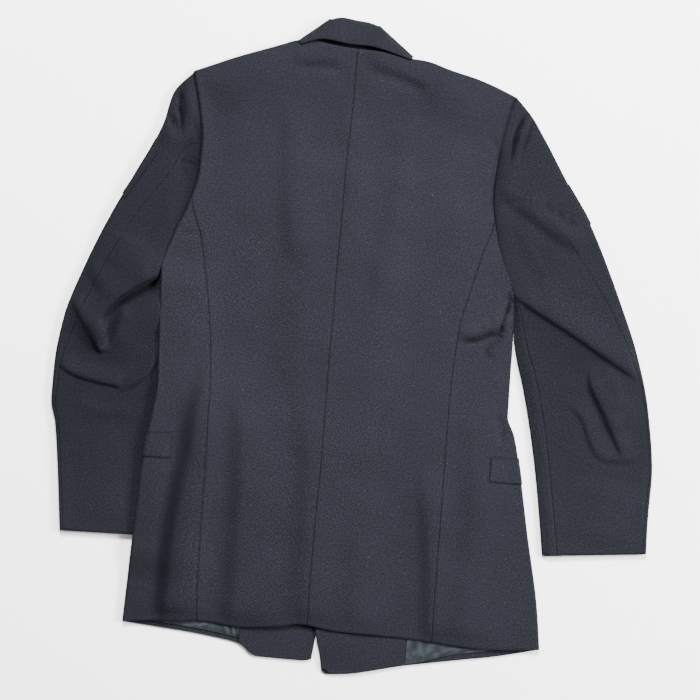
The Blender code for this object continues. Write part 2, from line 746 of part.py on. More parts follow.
inside_strip("facing_left", FACING_LEFT_X, FRONT_HEM_LEFT, lower, FACING_MARGIN, FACING, "wool")
inside_strip("facing_right", FACING_RIGHT_X, FRONT_HEM_RIGHT, lower_right, FACING_MARGIN, FACING, "wool")
inside_strip("lining_left", LINING_LEFT_X, FRONT_HEM_LEFT, lower, LINING_MARGIN, SATIN, "lining")
inside_strip("lining_right", LINING_RIGHT_X, FRONT_HEM_RIGHT, lower_right, LINING_MARGIN, SATIN, "lining")

collar_fall("collar_fall")
collar_stand("collar_stand")
for index, place in enumerate(BUTTON_HEIGHTS):
    button(index + 1, place)
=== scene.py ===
"""A military dress tunic of dark blue-grey wool, lying face down on a pale floor with its back up.

Sizes and places are in millimetres: X across the shoulders, Y towards the collar, Z up.
"""

import math

import bpy
import numpy as np
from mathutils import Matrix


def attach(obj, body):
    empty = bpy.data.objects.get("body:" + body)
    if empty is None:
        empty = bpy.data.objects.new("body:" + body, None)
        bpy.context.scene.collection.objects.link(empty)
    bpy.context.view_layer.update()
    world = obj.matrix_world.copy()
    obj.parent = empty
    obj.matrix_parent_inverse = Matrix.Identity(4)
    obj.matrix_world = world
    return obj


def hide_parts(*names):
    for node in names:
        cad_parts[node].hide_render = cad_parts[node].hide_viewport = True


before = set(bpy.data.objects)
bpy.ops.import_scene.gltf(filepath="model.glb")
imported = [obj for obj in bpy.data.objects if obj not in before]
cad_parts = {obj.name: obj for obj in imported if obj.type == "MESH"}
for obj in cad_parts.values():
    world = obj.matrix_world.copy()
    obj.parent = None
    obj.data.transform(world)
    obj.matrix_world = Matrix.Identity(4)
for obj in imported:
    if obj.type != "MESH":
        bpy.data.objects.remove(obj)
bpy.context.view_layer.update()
MM = 0.001
bpy.ops.object.select_all(action="DESELECT")


# The floor, the light and the camera. A plain pale floor lies just under the tunic. One large soft
# light stands past its collar, one past its right side, and the pale room fills in the rest.
FLOOR_DROP = 0.6
FLOOR_SIZE = 9000
VIEW_CENTRE = (-11.1, -4.5)
VIEW_WIDTH = 952.0
VIEW_HEIGHT = 3000.0
VIEW_ROLL = 4.35
SENSOR = 36.0
LAMPS = (
    # name, x, y, height, size, power
    ("head_light", -100, 2600, 2350, 1200, 620),
    ("side_light", 3400, 700, 2000, 1400, 700),
)
ROOM_STRENGTH = 0.62
FLOOR_COLOUR = (0.86, 0.86, 0.86, 1)
FLOOR_ROUGHNESS = 0.8

bpy.ops.mesh.primitive_plane_add(size=FLOOR_SIZE * MM, location=(0, 0, -FLOOR_DROP * MM))
floor = bpy.context.object
floor.name = "floor"
paint = bpy.data.materials.new("pale_floor")
paint.use_nodes = True
paint.node_tree.nodes["Principled BSDF"].inputs["Base Color"].default_value = FLOOR_COLOUR
paint.node_tree.nodes["Principled BSDF"].inputs["Roughness"].default_value = FLOOR_ROUGHNESS
floor.data.materials.append(paint)

for name, x, y, height, size, power in LAMPS:
    lamp = bpy.data.lights.new(name, "AREA")
    lamp.shape, lamp.size, lamp.energy = "DISK", size * MM, power
    holder = bpy.data.objects.new(name, lamp)
    holder.location = (x * MM, y * MM, height * MM)
    holder.rotation_euler = holder.location.to_track_quat("Z", "Y").to_euler()
    bpy.context.scene.collection.objects.link(holder)

room = bpy.data.worlds.new("room")
room.use_nodes = True
room.node_tree.nodes["Background"].inputs["Color"].default_value = (1.0, 1.0, 1.0, 1)
room.node_tree.nodes["Background"].inputs["Strength"].default_value = ROOM_STRENGTH
bpy.context.scene.world = room

lens = bpy.data.cameras.new("camera")
lens.sensor_width = SENSOR
lens.lens = SENSOR * VIEW_HEIGHT / VIEW_WIDTH
camera = bpy.data.objects.new("camera", lens)
camera.location = (VIEW_CENTRE[0] * MM, VIEW_CENTRE[1] * MM, VIEW_HEIGHT * MM)
camera.rotation_euler = (0, 0, math.radians(VIEW_ROLL))
bpy.context.scene.collection.objects.link(camera)
bpy.context.scene.camera = camera


# The wool. A smooth worsted twill, piece dyed dark blue-grey, with a soft heathered grain and a pressed
# shine along its seams. It is woven once here and cut for every outer piece. Each piece's "shade" mark
# is painted shade: it darkens the wool towards SHADED in its hollows, seams and shaded parts, and stays
# the same under any other light.
WOOL = 2.0
SATIN = 1.0
FACING = 1.4
TWILL_PITCH = 1.1
WOOL_DARK = (0.0020, 0.0021, 0.0029, 1)
WOOL_MID = (0.0080, 0.0083, 0.0113, 1)
WOOL_LIGHT = (0.0172, 0.0178, 0.0241, 1)
FLECK = (0.0400, 0.0410, 0.0480, 1)
SHADED = (0.62, 0.62, 0.64, 1)
UNSHADED = (1.0, 1.0, 1.0, 1)


class Thread:
    """One output of a cloth's nodes, on which Python's own sums can be written."""

    def __init__(self, tree, socket):
        self.tree, self.socket = tree, socket

    def node(self, kind, settings, sockets, out=0):
        """Any node: its settings are set first, then its sockets' values or links."""
        made = self.tree.nodes.new(kind)
        for key, value in settings.items():
            setattr(made, key, value)
        for key, value in sockets.items():
            if isinstance(value, Thread):
                self.tree.links.new(value.socket, made.inputs[key])
            else:
                made.inputs[key].default_value = value
        return Thread(self.tree, made.outputs[out])

    def sum(self, operation, first, second):
        return self.node("ShaderNodeMath", {"operation": operation}, {0: first, 1: second})

    def __add__(self, other):
        return self.sum("ADD", self, other)

    def __radd__(self, other):
        return self.sum("ADD", other, self)

    def __sub__(self, other):
        return self.sum("SUBTRACT", self, other)

    def __rsub__(self, other):
        return self.sum("SUBTRACT", other, self)

    def __mul__(self, other):
        return self.sum("MULTIPLY", self, other)

    def __rmul__(self, other):
        return self.sum("MULTIPLY", other, self)

    def __truediv__(self, other):
        return self.sum("DIVIDE", self, other)

    def __pow__(self, other):
        return self.sum("POWER", self, other)

    def between(self, low, high):
        """Nought below low, one above high, with a soft step."""
        settings = {"interpolation_type": "SMOOTHSTEP"}
        return self.node("ShaderNodeMapRange", settings, {"Value": self, "From Min": low, "From Max": high})

    def mix(self, first, second, clamp=True):
        """A colour between two, by this share."""
        settings = {"data_type": "RGBA", "clamp_factor": clamp}
        return self.node("ShaderNodeMix", settings, {0: self, 6: first, 7: second}, out=2)

    def noise(self, place, scale, detail=2.0, rough=0.5):
        sockets = {"Vector": place, "Scale": scale, "Detail": detail, "Roughness": rough}
        return self.node("ShaderNodeTexNoise", {}, sockets, out="Fac")

    def scaled(self, other):
        """A colour or a place, multiplied part by part."""
        return self.node("ShaderNodeVectorMath", {"operation": "MULTIPLY"}, {0: self, 1: other})

    def mark(self, name):
        """What a piece's points say under this name."""
        return self.node("ShaderNodeAttribute", {"attribute_name": name}, {}, out="Fac")

    def cut_place(self):
        """The place on the flat cut piece, in millimetres."""
        along = self.node("ShaderNodeUVMap", {"uv_map": "cut"}, {})
        return self.node("ShaderNodeVectorMath", {"operation": "SCALE"}, {0: along, "Scale": 1 / MM})


def bare_cloth(name, specular, sheen, sheen_roughness):
    """An undyed cloth: its shader, with what is the same all over, and its first thread."""
    material = bpy.data.materials.new(name)
    material.use_nodes = True
    tree = material.node_tree
    shader = tree.nodes["Principled BSDF"]
    shader.inputs["Specular IOR Level"].default_value = specular
    shader.inputs["Sheen Weight"].default_value = sheen
    shader.inputs["Sheen Roughness"].default_value = sheen_roughness
    shader.inputs["Sheen Tint"].default_value = (0.75, 0.8, 1.0, 1)
    return material, shader, Thread(tree, None)


def finish_cloth(shader, thread, colour, roughness, height, depth):
    """Dyes the cloth and raises its surface."""
    tree = thread.tree
    tree.links.new(colour.socket, shader.inputs["Base Color"])
    tree.links.new(roughness.socket, shader.inputs["Roughness"])
    bump = thread.node("ShaderNodeBump", {}, {"Strength": 1.0, "Distance": depth * MM, "Height": height},
                       out="Normal")
    tree.links.new(bump.socket, shader.inputs["Normal"])


def wool_cloth():
    material, shader, thread = bare_cloth("worsted_wool", 0.03, 0.008, 0.5)
    cut = thread.cut_place()
    u = thread.node("ShaderNodeSeparateXYZ", {}, {0: cut}, out=0)
    v = thread.node("ShaderNodeSeparateXYZ", {}, {0: cut}, out=1)
    drift = thread.noise(cut, 0.35)
    diagonal = (u + v * 1.3 + drift * 1.2) * (2 * math.pi / TWILL_PITCH)
    twill = thread.node("ShaderNodeMath", {"operation": "SINE"}, {0: diagonal}) * 0.5 + 0.5
    yarn = thread.noise(cut, 1.15, 3.0, 0.7)
    grain = thread.noise(cut, 0.5, 3.0, 0.7)
    patches = thread.noise(cut, 0.022, 3.0, 0.55)
    heather = grain.between(0.30, 0.70) * 0.62 + yarn.between(0.3, 0.7) * 0.25 + patches * 0.12 + twill * 0.05
    base = (heather - 0.1).between(0.0, 1.0).mix(WOOL_DARK, WOOL_LIGHT)
    dyed = (patches * 0.1 + 0.25).mix(base, WOOL_MID)
    dyed = (thread.noise(cut, 0.47, 1.0, 0.5).between(0.69, 0.80) * 0.8).mix(dyed, FLECK)
    # Painted shade: the shade mark darkens the wool's colour towards SHADED.
    colour = dyed.scaled(thread.mark("shade").mix(UNSHADED, SHADED, clamp=False))
    roughness = 0.92 - thread.mark("press") * 0.05 - yarn * 0.06
    height = twill * 0.2 + yarn * 0.6 + grain * 0.25
    finish_cloth(shader, thread, colour, roughness, height, 0.16)
    return material


wool = wool_cloth()

# The back. Two long panels of wool, sewn down the centre seam and to the side bodies and sleeves,
# turned in at the hem, and rolled over the shoulder padding to the shoulder seams in front.
SEAM_GAP = 0.12
AIR = 3.0
LOWER = WOOL / 2
UPPER = LOWER + WOOL + AIR
DEEPEST = -1.1
LOWEST_CREASE = -2.3
UNDERARM = 86.0
JUNCTION = 187.0
CENTRE = 3
SIDES = ("left", "right")
AWAY = {"left": -1, "right": 1}
SIDE_COLUMN = {"left": 1, "right": 5}
SEAM_COLUMN = {"left": 2, "right": 4}
BODY = (
    # height, left side, left seam, centre seam, right seam, right side
    (-396, -292, -191, -41, 129, 277),
    (-330, -289, -194, -42, 128, 268),
    (-235, -284, -195, -41, 128, 248),
    (-150, -278, -195, -39, 128, 231),
    (-106, -271, -196, -39, 128, 220.5),
    (-78, -268, -196, -39, 128, 209.5),
    (-20, -270, -200, -39, 130, 209),
    (40, -273, -207, -38, 135, 208.5),
    (86, -274.5, -215, -38, 145, 204.5),
    (135, -261, -225, -37, 157, 185),
    (187, -241, -241, -36, 170.5, 170.5),
    (225, -234, -234, -36, 166, 166),
    (265, -233, -233, -35, 169, 169),
    (310, -240, -240, -33, 176, 176),
    (356, -251, -251, -32, 187, 187),
)
SHOULDER_LINE = (
    # x, height
    (-254, 356), (-225, 368), (-198, 379), (-148, 397), (-128, 404.5), (-116, 409), (-104, 411), (-90, 411),
    (-70, 407.5), (-49, 405), (-31, 404), (-8, 403), (5, 402), (32, 397), (62, 394.5), (98, 384),
    (131, 376), (158, 367), (188, 354.5),
)
BACK_HEM = (
    (-292, -395), (-235, -389), (-182, -386), (-135, -390), (-84, -386), (-50, -380),
    (-3, -386), (59, -388), (128, -391), (163, -394), (201, -396), (277, -391),
)
LIFTS = (
    # from x, to x, from height, to height, reach of the slope, lift
    (-330, -122, -198, -104, 95, 3.2),  # left pocket flap
    (84, 280, -198, -104, 95, 3.2),  # right pocket flap
    (-168, 100, 185, 430, 50, 2.6),  # lapels and collar ends
    (-70, 10, -130, 190, 60, 2.6),  # buttons
)
CLOSURE_LIFT = WOOL + 1.0
CLOSURE_EDGES = (-75, 16)
CLOSURE_TOP = 212
TUCK_LIFT = 5.6
TUCK_EDGE = -236.0
TUCK_SLOPE = 60.0
TUCK_HEIGHTS = (-290, 62)
PADDING_AND_DRAPE = (
    # rise, half width on the left hand of the line, on the right hand, then the line's points
    (4.0, 34, 34, (-225, 318), (-190, 345), (-150, 362)),
    (4.0, 34, 34, (165, 318), (130, 345), (95, 358)),
    (3.0, 14, 22, (-250, -110), (-258, -250), (-262, -392)),
    (12.5, 40, 15, (-184, 12), (-198, -50), (-207, -110), (-211, -160), (-222, -230), (-228, -310),
     (-231, -386)),
    (8.2, 48, 19, (-158, -30), (-151, -90), (-145, -130), (-140, -200), (-138, -290), (-140, -386)),
    (5.5, 50, 20, (-64, -60), (-52, -150), (-46, -300), (-44, -384)),
    (2.5, 40, 24, (6, -170), (24, -290), (30, -386)),
    (5.4, 32, 13, (100, -130), (114, -230), (124, -310), (128, -392)),
    (4.0, 36, 20, (148, -50), (172, -140), (177, -216), (172, -300), (172, -394)),
)
BODY_CREASES = (
    (2.8, 26, 14, (-114, 335), (-106, 200), (-92, 110)),
    (2.2, 22, 14, (-40, 318), (-22, 216), (-30, 90)),
    (2.4, 30, 16, (44, 320), (40, 202), (18, 50)),
    (2.0, 18, 9, (-118, 384), (-81, 388), (-49, 387)),
    (2.0, 18, 9, (-20, 389), (16, 383), (54, 370), (74, 360)),
    (-1.9, 8, 8, (-112, 371), (-81, 375), (-49, 374)),
    (-1.9, 8, 8, (-20, 376), (12, 370), (47, 358), (62, 349)),
    (-1.1, 4, 5, (153, 301), (161, 292), (169, 281)),
    (-1.2, 5, 4, (-254, 139), (-240, 135), (-222, 138)),
    (-2.6, 3, 2.5, (202, 80), (198, 65), (193, 49), (188, 34)),
    (4.4, 6, 3.6, (206, 82), (202, 67), (197, 52), (192, 34)),
    (-3.0, 3.5, 3.5, (202, 48), (188, 33), (174, 28), (159, 21), (134, 15)),
    (4.8, 5, 12, (200, 62), (184, 41), (172, 36), (158, 29), (132, 23)),
    (2.2, 4, 3, (208, 58), (199, 44), (191, 28)),
    (2.6, 9, 4, (208, 42), (194, 22), (174, 2)),
    (-1.6, 6, 6, (196, -78), (206, -118)),
    (-0.7, 2, 3, (-201, -363), (-175, -361)),
)
BACK_HOLLOWS = (
    # how dark a hollow is painted, half width on the left hand, on the right hand, then the points
    (0.62, 32, 14, (-217, -40), (-219, -110), (-221, -160), (-230, -210), (-238, -290), (-243, -392)),
    (0.9, 2.4, 2.4, (203, 82), (198, 65), (193.5, 50), (188, 34)),
    (0.8, 3, 3.4, (196, 37), (188, 32), (174, 28), (160, 21), (138, 16)),
    (0.7, 5, 5, (196, 34), (184, 20), (172, 6)),
)
BACK_WIDTH = 158.0
BACK_LENGTH_BELOW = 577.0
# Painted shade: how much darker the upper back is painted towards the shoulders.
UPPER_BACK_SHADE = 0.4
HEM_HUG = 0.75
HEM_DROP = 0.6
HEM_REACH = 16.0
SETTLING = (
    # length of the wave, how far it turns the cloth up and down
    (150, 0.2), (95, 0.14), (62, 0.1), (38, 0.06), (23, 0.04),
)
HEM_DIP = 0.9
HEM_DIP_REACH = 1.2
HEM_STEPS = (0, 0.6, 1.4, 2.6)
FIRST_STEP = 5
SEAM_ROLL = 0.9
SEAM_DIP = 0.8
ALLOWANCE = 11.0
ALLOWANCE_RISE = 0.12
PUCKER_REACH = 5.0
PUCKER_RISE = 0.1
PUCKER_LENGTH = 13.0
SHOULDER_TURN = 1.9
GRAIN = 3.0
MOST_MARKED = 1.9


def ease(share):
    """Nought to one, with level ends."""
    share = np.clip(share, 0.0, 1.0)
    return share * share * (3.0 - 2.0 * share)


def blend(start, end, share):
    return start + (end - start) * share


def column(rows, index, at):
    """A table's column on a smooth curve through its rows, where the first column is `at`."""
    keys = np.array([row[0] for row in rows], float)
    values = np.array([row[index] for row in rows], float)
    span, rise = np.diff(keys), np.diff(values)
    rises = rise / span
    before, after = rises[:-1], rises[1:]
    together = np.where(before * after > 0, before + after, 1.0)
    turns = np.where(before * after > 0, 2 * before * after / together, 0.0)
    slopes = np.concatenate((rises[:1], turns, rises[-1:]))
    at = np.clip(at, keys[0], keys[-1])
    low = np.clip(np.searchsorted(keys, at, side="right") - 1, 0, len(span) - 1)
    t = (at - keys[low]) / span[low]
    start, end = slopes[low] * span[low], slopes[low + 1] * span[low]
    bend = t * t * (3 * rise[low] - 2 * start - end) + t ** 3 * (start + end - 2 * rise[low])
    return values[low] + t * start + bend


def fading(distance, reach):
    """One at no distance, dying away over a reach."""
    return np.exp(-(distance / reach) ** 2)


def side_line(side, y):
    """The outermost x of the body on a side, down the side fold and the armhole."""
    return column(BODY, SIDE_COLUMN[side], y)


def seam_line(side, y):
    return column(BODY, SEAM_COLUMN[side], y)


def back_hem(x):
    return column(BACK_HEM, 1, x)


def shoulder(x):
    return column(SHOULDER_LINE, 1, x)


def side_by_side(*parts):
    """The x, y and z of a piece's stretches, joined column by column."""
    return [np.concatenate(each, 1) for each in zip(*parts)]


def through(before, start, end, after, t):
    """A place between start and end on a smooth curve through all four."""
    return 0.5 * (2 * start + (end - before) * t + (2 * before - 5 * start + 4 * end - after) * t * t
                  + (3 * start - before - 3 * end + after) * t ** 3)


def plateau(at, start, end, slope):
    """One between start and end, sloping to nought outside."""
    return ease((at - start) / slope + 1) * ease((end - at) / slope + 1)


def smooth_line(points, steps=7):
    """Points on a smooth curve through the given ones."""
    ring = [points[0], *points, points[-1]]
    made = []
    for n in range(1, len(ring) - 2):
        before, start, end, after = (np.array(p, float) for p in ring[n - 1:n + 3])
        made += [through(before, start, end, after, k / steps) for k in range(steps)]
    made.append(np.array(points[-1], float))
    return made


def off_line(x, y, points):
    """How far each place is from a line, its side (one to the left), its share along, the way out."""
    line = smooth_line(points)
    nearest = np.full(x.shape, 1e9)
    side, along = np.ones(x.shape), np.zeros(x.shape)
    out_x, out_y = np.zeros(x.shape), np.zeros(x.shape)
    for n, (start, end) in enumerate(zip(line, line[1:])):
        way = end - start
        length = math.hypot(*way)
        share = np.clip(((x - start[0]) * way[0] + (y - start[1]) * way[1]) / length ** 2, 0, 1)
        dx, dy = x - start[0] - way[0] * share, y - start[1] - way[1] * share
        distance = np.hypot(dx, dy)
        closer = distance < nearest
        nearest = np.where(closer, distance, nearest)
        side = np.where(closer, np.where(way[0] * dy - way[1] * dx > 0, 1.0, -1.0), side)
        along = np.where(closer, (n + share) / (len(line) - 1), along)
        out_x = np.where(closer, -way[1] / length, out_x)
        out_y = np.where(closer, way[0] / length, out_y)
    return nearest, side, along, out_x, out_y


def folds_at(x, y, folds, fade_in=0.0, fade_out=0.0):
    """What the folds in a table add to the cloth's height, fading over these shares of their lines."""
    height = np.zeros(x.shape)
    for rise, left, right, *points in folds:
        reach = 3 * max(left, right)
        xs, ys = [p[0] for p in points], [p[1] for p in points]
        near = (x > min(xs) - reach) & (x < max(xs) + reach) & (y > min(ys) - reach) & (y < max(ys) + reach)
        if not near.any():
            continue
        nearest, side, along, _, _ = off_line(x[near], y[near], points)
        half = np.where(side > 0, left, right)
        strength = ease(along / fade_in) if fade_in else 1.0
        strength = strength * ease((1 - along) / fade_out) if fade_out else strength
        height[near] += rise * strength * fading(nearest, half)
    return height


def settled(x, y, seed=0):
    """The small uneven waves of cloth that has been worn and laid down."""
    chance = np.random.default_rng(40 + seed)
    height = np.zeros(x.shape)
    for length, rise in SETTLING:
        for _ in range(4):
            turn, start = chance.uniform(0, math.pi), chance.uniform(0, 2 * math.pi)
            stretch = chance.uniform(0.8, 1.3)
            phase = (x * math.cos(turn) + y * math.sin(turn)) * 2 * math.pi / (length * stretch) + start
            height += rise / 2 * np.sin(phase)
    return height


def tuck(x, y):
    """How far the left sleeve lifts the body that lies over it."""
    low, high = TUCK_HEIGHTS
    return TUCK_LIFT * plateau(y, low, high, 48) * (1 - ease((x - TUCK_EDGE) / TUCK_SLOPE))


def lift(x, y):
    """How far all that lies under the fronts lifts them."""
    rise = np.zeros(np.broadcast(x, y).shape)
    for x0, x1, y0, y1, slope, height in LIFTS:
        rise = np.maximum(rise, height * plateau(x, x0, x1, slope) * plateau(y, y0, y1, slope))
    return rise + tuck(x, y)


def lower(x, y):
    """Height of the middle of the cloth that lies underneath."""
    return LOWER + lift(x, y)


def lower_right(x, y):
    """The right front lies over the left one at the closure."""
    return lower(x, y) + CLOSURE_LIFT * (1 - ease((x + 4) / 70)) * plateau(y, -400, CLOSURE_TOP, 40)


def upper(x, y):
    """Height of the middle of the back's cloth."""
    west, east = CLOSURE_EDGES
    closure = CLOSURE_LIFT * plateau(x, west, east, 60) * plateau(y, -400, CLOSURE_TOP + 15, 45)
    drape = np.maximum(folds_at(x, y, PADDING_AND_DRAPE, 0.4), DEEPEST)
    creases = folds_at(x, y, BODY_CREASES, 0.22, 0.22) + settled(x, y)
    shape = np.maximum(drape + creases, LOWEST_CREASE)
    hem = fading(y - back_hem(x), HEM_REACH)
    hug = (HEM_HUG * np.maximum(shape, 0.0) + HEM_DROP) * hem
    return UPPER + closure + lift(x, y) + shape - hug


def back_hollows(x, y):
    """The shade painted in the back's deepest hollows, on top of what the lamps give them."""
    return folds_at(x, y, BACK_HOLLOWS, 0.3, 0.1)


def seam(distance, along, seed=0):
    """How a pressed-open seam shapes the cloth beside it: its dip, its allowance and its puckers."""
    dip = -SEAM_DIP * fading(distance, SEAM_ROLL)
    allowance = ALLOWANCE_RISE * (1 - ease((distance - ALLOWANCE + 2) / 3))
    wave = np.sin(along * 2 * math.pi / PUCKER_LENGTH + seed) * np.sin(along / 17.0 + 2 * seed)
    return dip + allowance + PUCKER_RISE * wave * fading(distance, PUCKER_REACH)


def hem_dip(distance):
    """How far the pressed edge of a hem lies below the cloth above it."""
    return HEM_DIP * fading(distance, HEM_DIP_REACH)


def hem_shares(length, count, last=1.0):
    """Shares of a length up from a hem, closer together beside it."""
    return np.concatenate((np.array(HEM_STEPS) / length, np.linspace(FIRST_STEP / length, last, count)))


def ditch(distance):
    """The shade painted in a seam, and along a piece's turned-in edge."""
    return fading(distance, 1.4)


def grain_steps(width, first=True, last=True, step=GRAIN):
    """Distances across a piece, closer together beside the edges that are sewn."""
    fine = [0.0, 0.4, 0.8, 1.3, 1.9, 2.7, 4.0]
    start = fine if first else [0.0]
    end = [width - d for d in reversed(fine)] if last else [width]
    count = max(2, round((end[0] - start[-1]) / step))
    middle = [blend(start[-1], end[0], n / count) for n in range(1, count)]
    return np.array(start + middle + end)


def cut_and_lay(name, x, y, z, cut_u=None, cut_v=None, press=0.0, shade=0.0, thickness=WOOL, cloth=wool):
    """One piece of cloth: a fine grid through its middle, given its thickness, with its cut as a map."""
    cut_u = x if cut_u is None else cut_u
    cut_v = y if cut_v is None else cut_v
    x, y, z, cut_u, cut_v, press, shade = np.broadcast_arrays(x, y, z, cut_u, cut_v, press, shade)
    rows, columns = x.shape
    places = np.stack((x, y, z), axis=-1).reshape(-1, 3) * MM
    index = np.arange(rows * columns).reshape(rows, columns)
    faces = np.stack((index[:-1, :-1], index[:-1, 1:], index[1:, 1:], index[1:, :-1]), -1).reshape(-1, 4)
    mesh = bpy.data.meshes.new(name)
    mesh.from_pydata(places.tolist(), [], faces.tolist())
    cuts = np.stack((cut_u, cut_v), -1).reshape(-1, 2) * MM
    layer = mesh.uv_layers.new(name="cut")
    layer.data.foreach_set("uv", cuts[faces.ravel()].ravel())
    for mark, values in (("press", press), ("shade", shade)):
        marks = mesh.attributes.new(mark, "FLOAT", "POINT")
        marks.data.foreach_set("value", np.clip(values, 0, MOST_MARKED).ravel().astype(np.float32))
    mesh.shade_smooth()
    mesh.materials.append(cloth)
    piece = bpy.data.objects.new(name, mesh)
    bpy.context.scene.collection.objects.link(piece)
    bpy.context.view_layer.objects.active = piece
    wall = piece.modifiers.new("wall", "SOLIDIFY")
    wall.thickness, wall.offset, wall.use_even_offset = thickness * MM, 0.0, False
    bpy.ops.object.modifier_apply(modifier=wall.name)
    piece.data.set_sharp_from_angle(angle=math.radians(60))
    return piece


def lay_down(piece, node):
    """Puts a cut piece in its place in the tunic."""
    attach(piece, "root")
    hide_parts(node)


def back_panel(side):
    away = AWAY[side]
    across = grain_steps(BACK_WIDTH)[None, :] / BACK_WIDTH
    low = hem_shares(BACK_LENGTH_BELOW, 190)
    high = np.linspace(0, 1, 76)[1:]
    parts = []
    for zone, is_low in ((low[:, None], True), (high[:, None], False)):
        y = blend(-390.0, JUNCTION, zone) if is_low else blend(JUNCTION, 380.0, zone)
        y = y + 0 * across
        for _ in range(5):
            outer = (seam_line if is_low else side_line)(side, y) - away * SEAM_GAP / 2
            centre = column(BODY, CENTRE, y) + away * SEAM_GAP / 2
            x = blend(outer, centre, across)
            if is_low:
                y = blend(back_hem(x), JUNCTION, zone)
            else:
                y = blend(JUNCTION, shoulder(x) - SHOULDER_TURN - WOOL / 2, zone)
        parts.append((x, y, np.abs(x - outer), np.abs(x - centre)))
    x, y, from_outer, from_centre = (np.concatenate(both) for both in zip(*parts))
    armhole = ease((y - JUNCTION) / 20)
    z = upper(x, y) + seam(from_centre, y, 1) + seam(from_outer, y, 2) * (1 + 1.6 * armhole)
    z -= hem_dip(y - back_hem(x))
    press = fading(np.minimum(from_centre, from_outer), 6)
    cut_v = y.copy()
    top_x, top_y, top_z = x[-1:], y[-1:], z[-1:]
    slope = (shoulder(top_x + 2) - shoulder(top_x - 2)) / 4
    out_x, out_y = -slope * 0.5, np.ones(slope.shape)
    size = np.hypot(out_x, out_y)
    out_x, out_y = out_x / size, out_y / size
    foot = lower(top_x, top_y) - LOWER + 0.4
    turn = SHOULDER_TURN
    rolled = [(x, y, z)]
    for angle in np.radians((72, 54, 36, 18, 0)):
        reach = turn * math.cos(angle)
        rolled.append((top_x + out_x * reach, top_y + out_y * reach, top_z - turn + turn * math.sin(angle)))
    edge_x, edge_y, edge_z = rolled[-1]
    for drop in (0.33, 0.66, 1.0):
        rolled.append((edge_x, edge_y, blend(edge_z, foot, drop)))
    count = len(rolled) - 1
    x, y, z = (np.concatenate(each) for each in zip(*rolled))
    cut_v = np.concatenate([cut_v] + [cut_v[-1:] + 1.2 * (n + 1) for n in range(count)])
    press = np.concatenate([press] + [press[-1:]] * count)
    # Painted shade: darker towards the shoulders, in the back's hollows, and in its seams.
    shade = UPPER_BACK_SHADE * ease((y - 230) / 130) + back_hollows(x, y)
    from_outer = np.concatenate([from_outer / (1 + armhole)] + [from_outer[-1:]] * count)
    shade = shade + ditch(np.minimum(np.abs(x - column(BODY, CENTRE, y)), from_outer))
    return cut_and_lay("back_panel_" + side, x, y, z, x, cut_v, press, shade)


for side in SIDES:
    lay_down(back_panel(side), "back_" + side)


# The side bodies. One long piece of wool each side, from the back's princess seam round the side
# fold to the front's side seam underneath, and up to the armhole. Its hem is turned in as the back's.
SIDE_LENGTH = 520.0
ARMHOLE_SINK = 1.6
FOLD_STEPS = 12
ARMHOLE_SHADE = 2.2
# From this height to the underarm, painted shade on the side fold where the sleeve lies against it.
SLEEVE_CONTACT = 34.0
UNDER_REACH = ((-396, 62), (-100, 62), (20, 44), (86, 9), (112, 0))
FRONT_HEM = {
    "left": (
        (-292, -395), (-245, -399), (-199, -403), (-153, -409), (-133, -413),
        (-124, -418), (-117, -424.5), (-106, -429), (-40, -430), (-31, -427),
    ),
    "right": (
        (-19, -440), (-11, -446), (17, -444), (48, -438), (89, -428),
        (132, -420), (171, -413), (217, -405), (277, -391),
    ),
}


def front_hem(side, x):
    return column(FRONT_HEM[side], 1, x)


def turned(edge_x, edge_y, out_x, out_y, high, low, thickness=WOOL):
    """The rounded fold at a cloth's edge, from its upper to its lower level, a column for each step.

    The edge is its outermost place in plan, and the way out has a length of one.
    """
    radius = (high - low) / 2
    inset = radius + thickness / 2
    angle = np.pi * (0.5 - np.linspace(0, 1, FOLD_STEPS + 1))[None, :]
    reach = radius * np.cos(angle) - inset
    return edge_x + out_x * reach, edge_y + out_y * reach, (high + low) / 2 + radius * np.sin(angle)


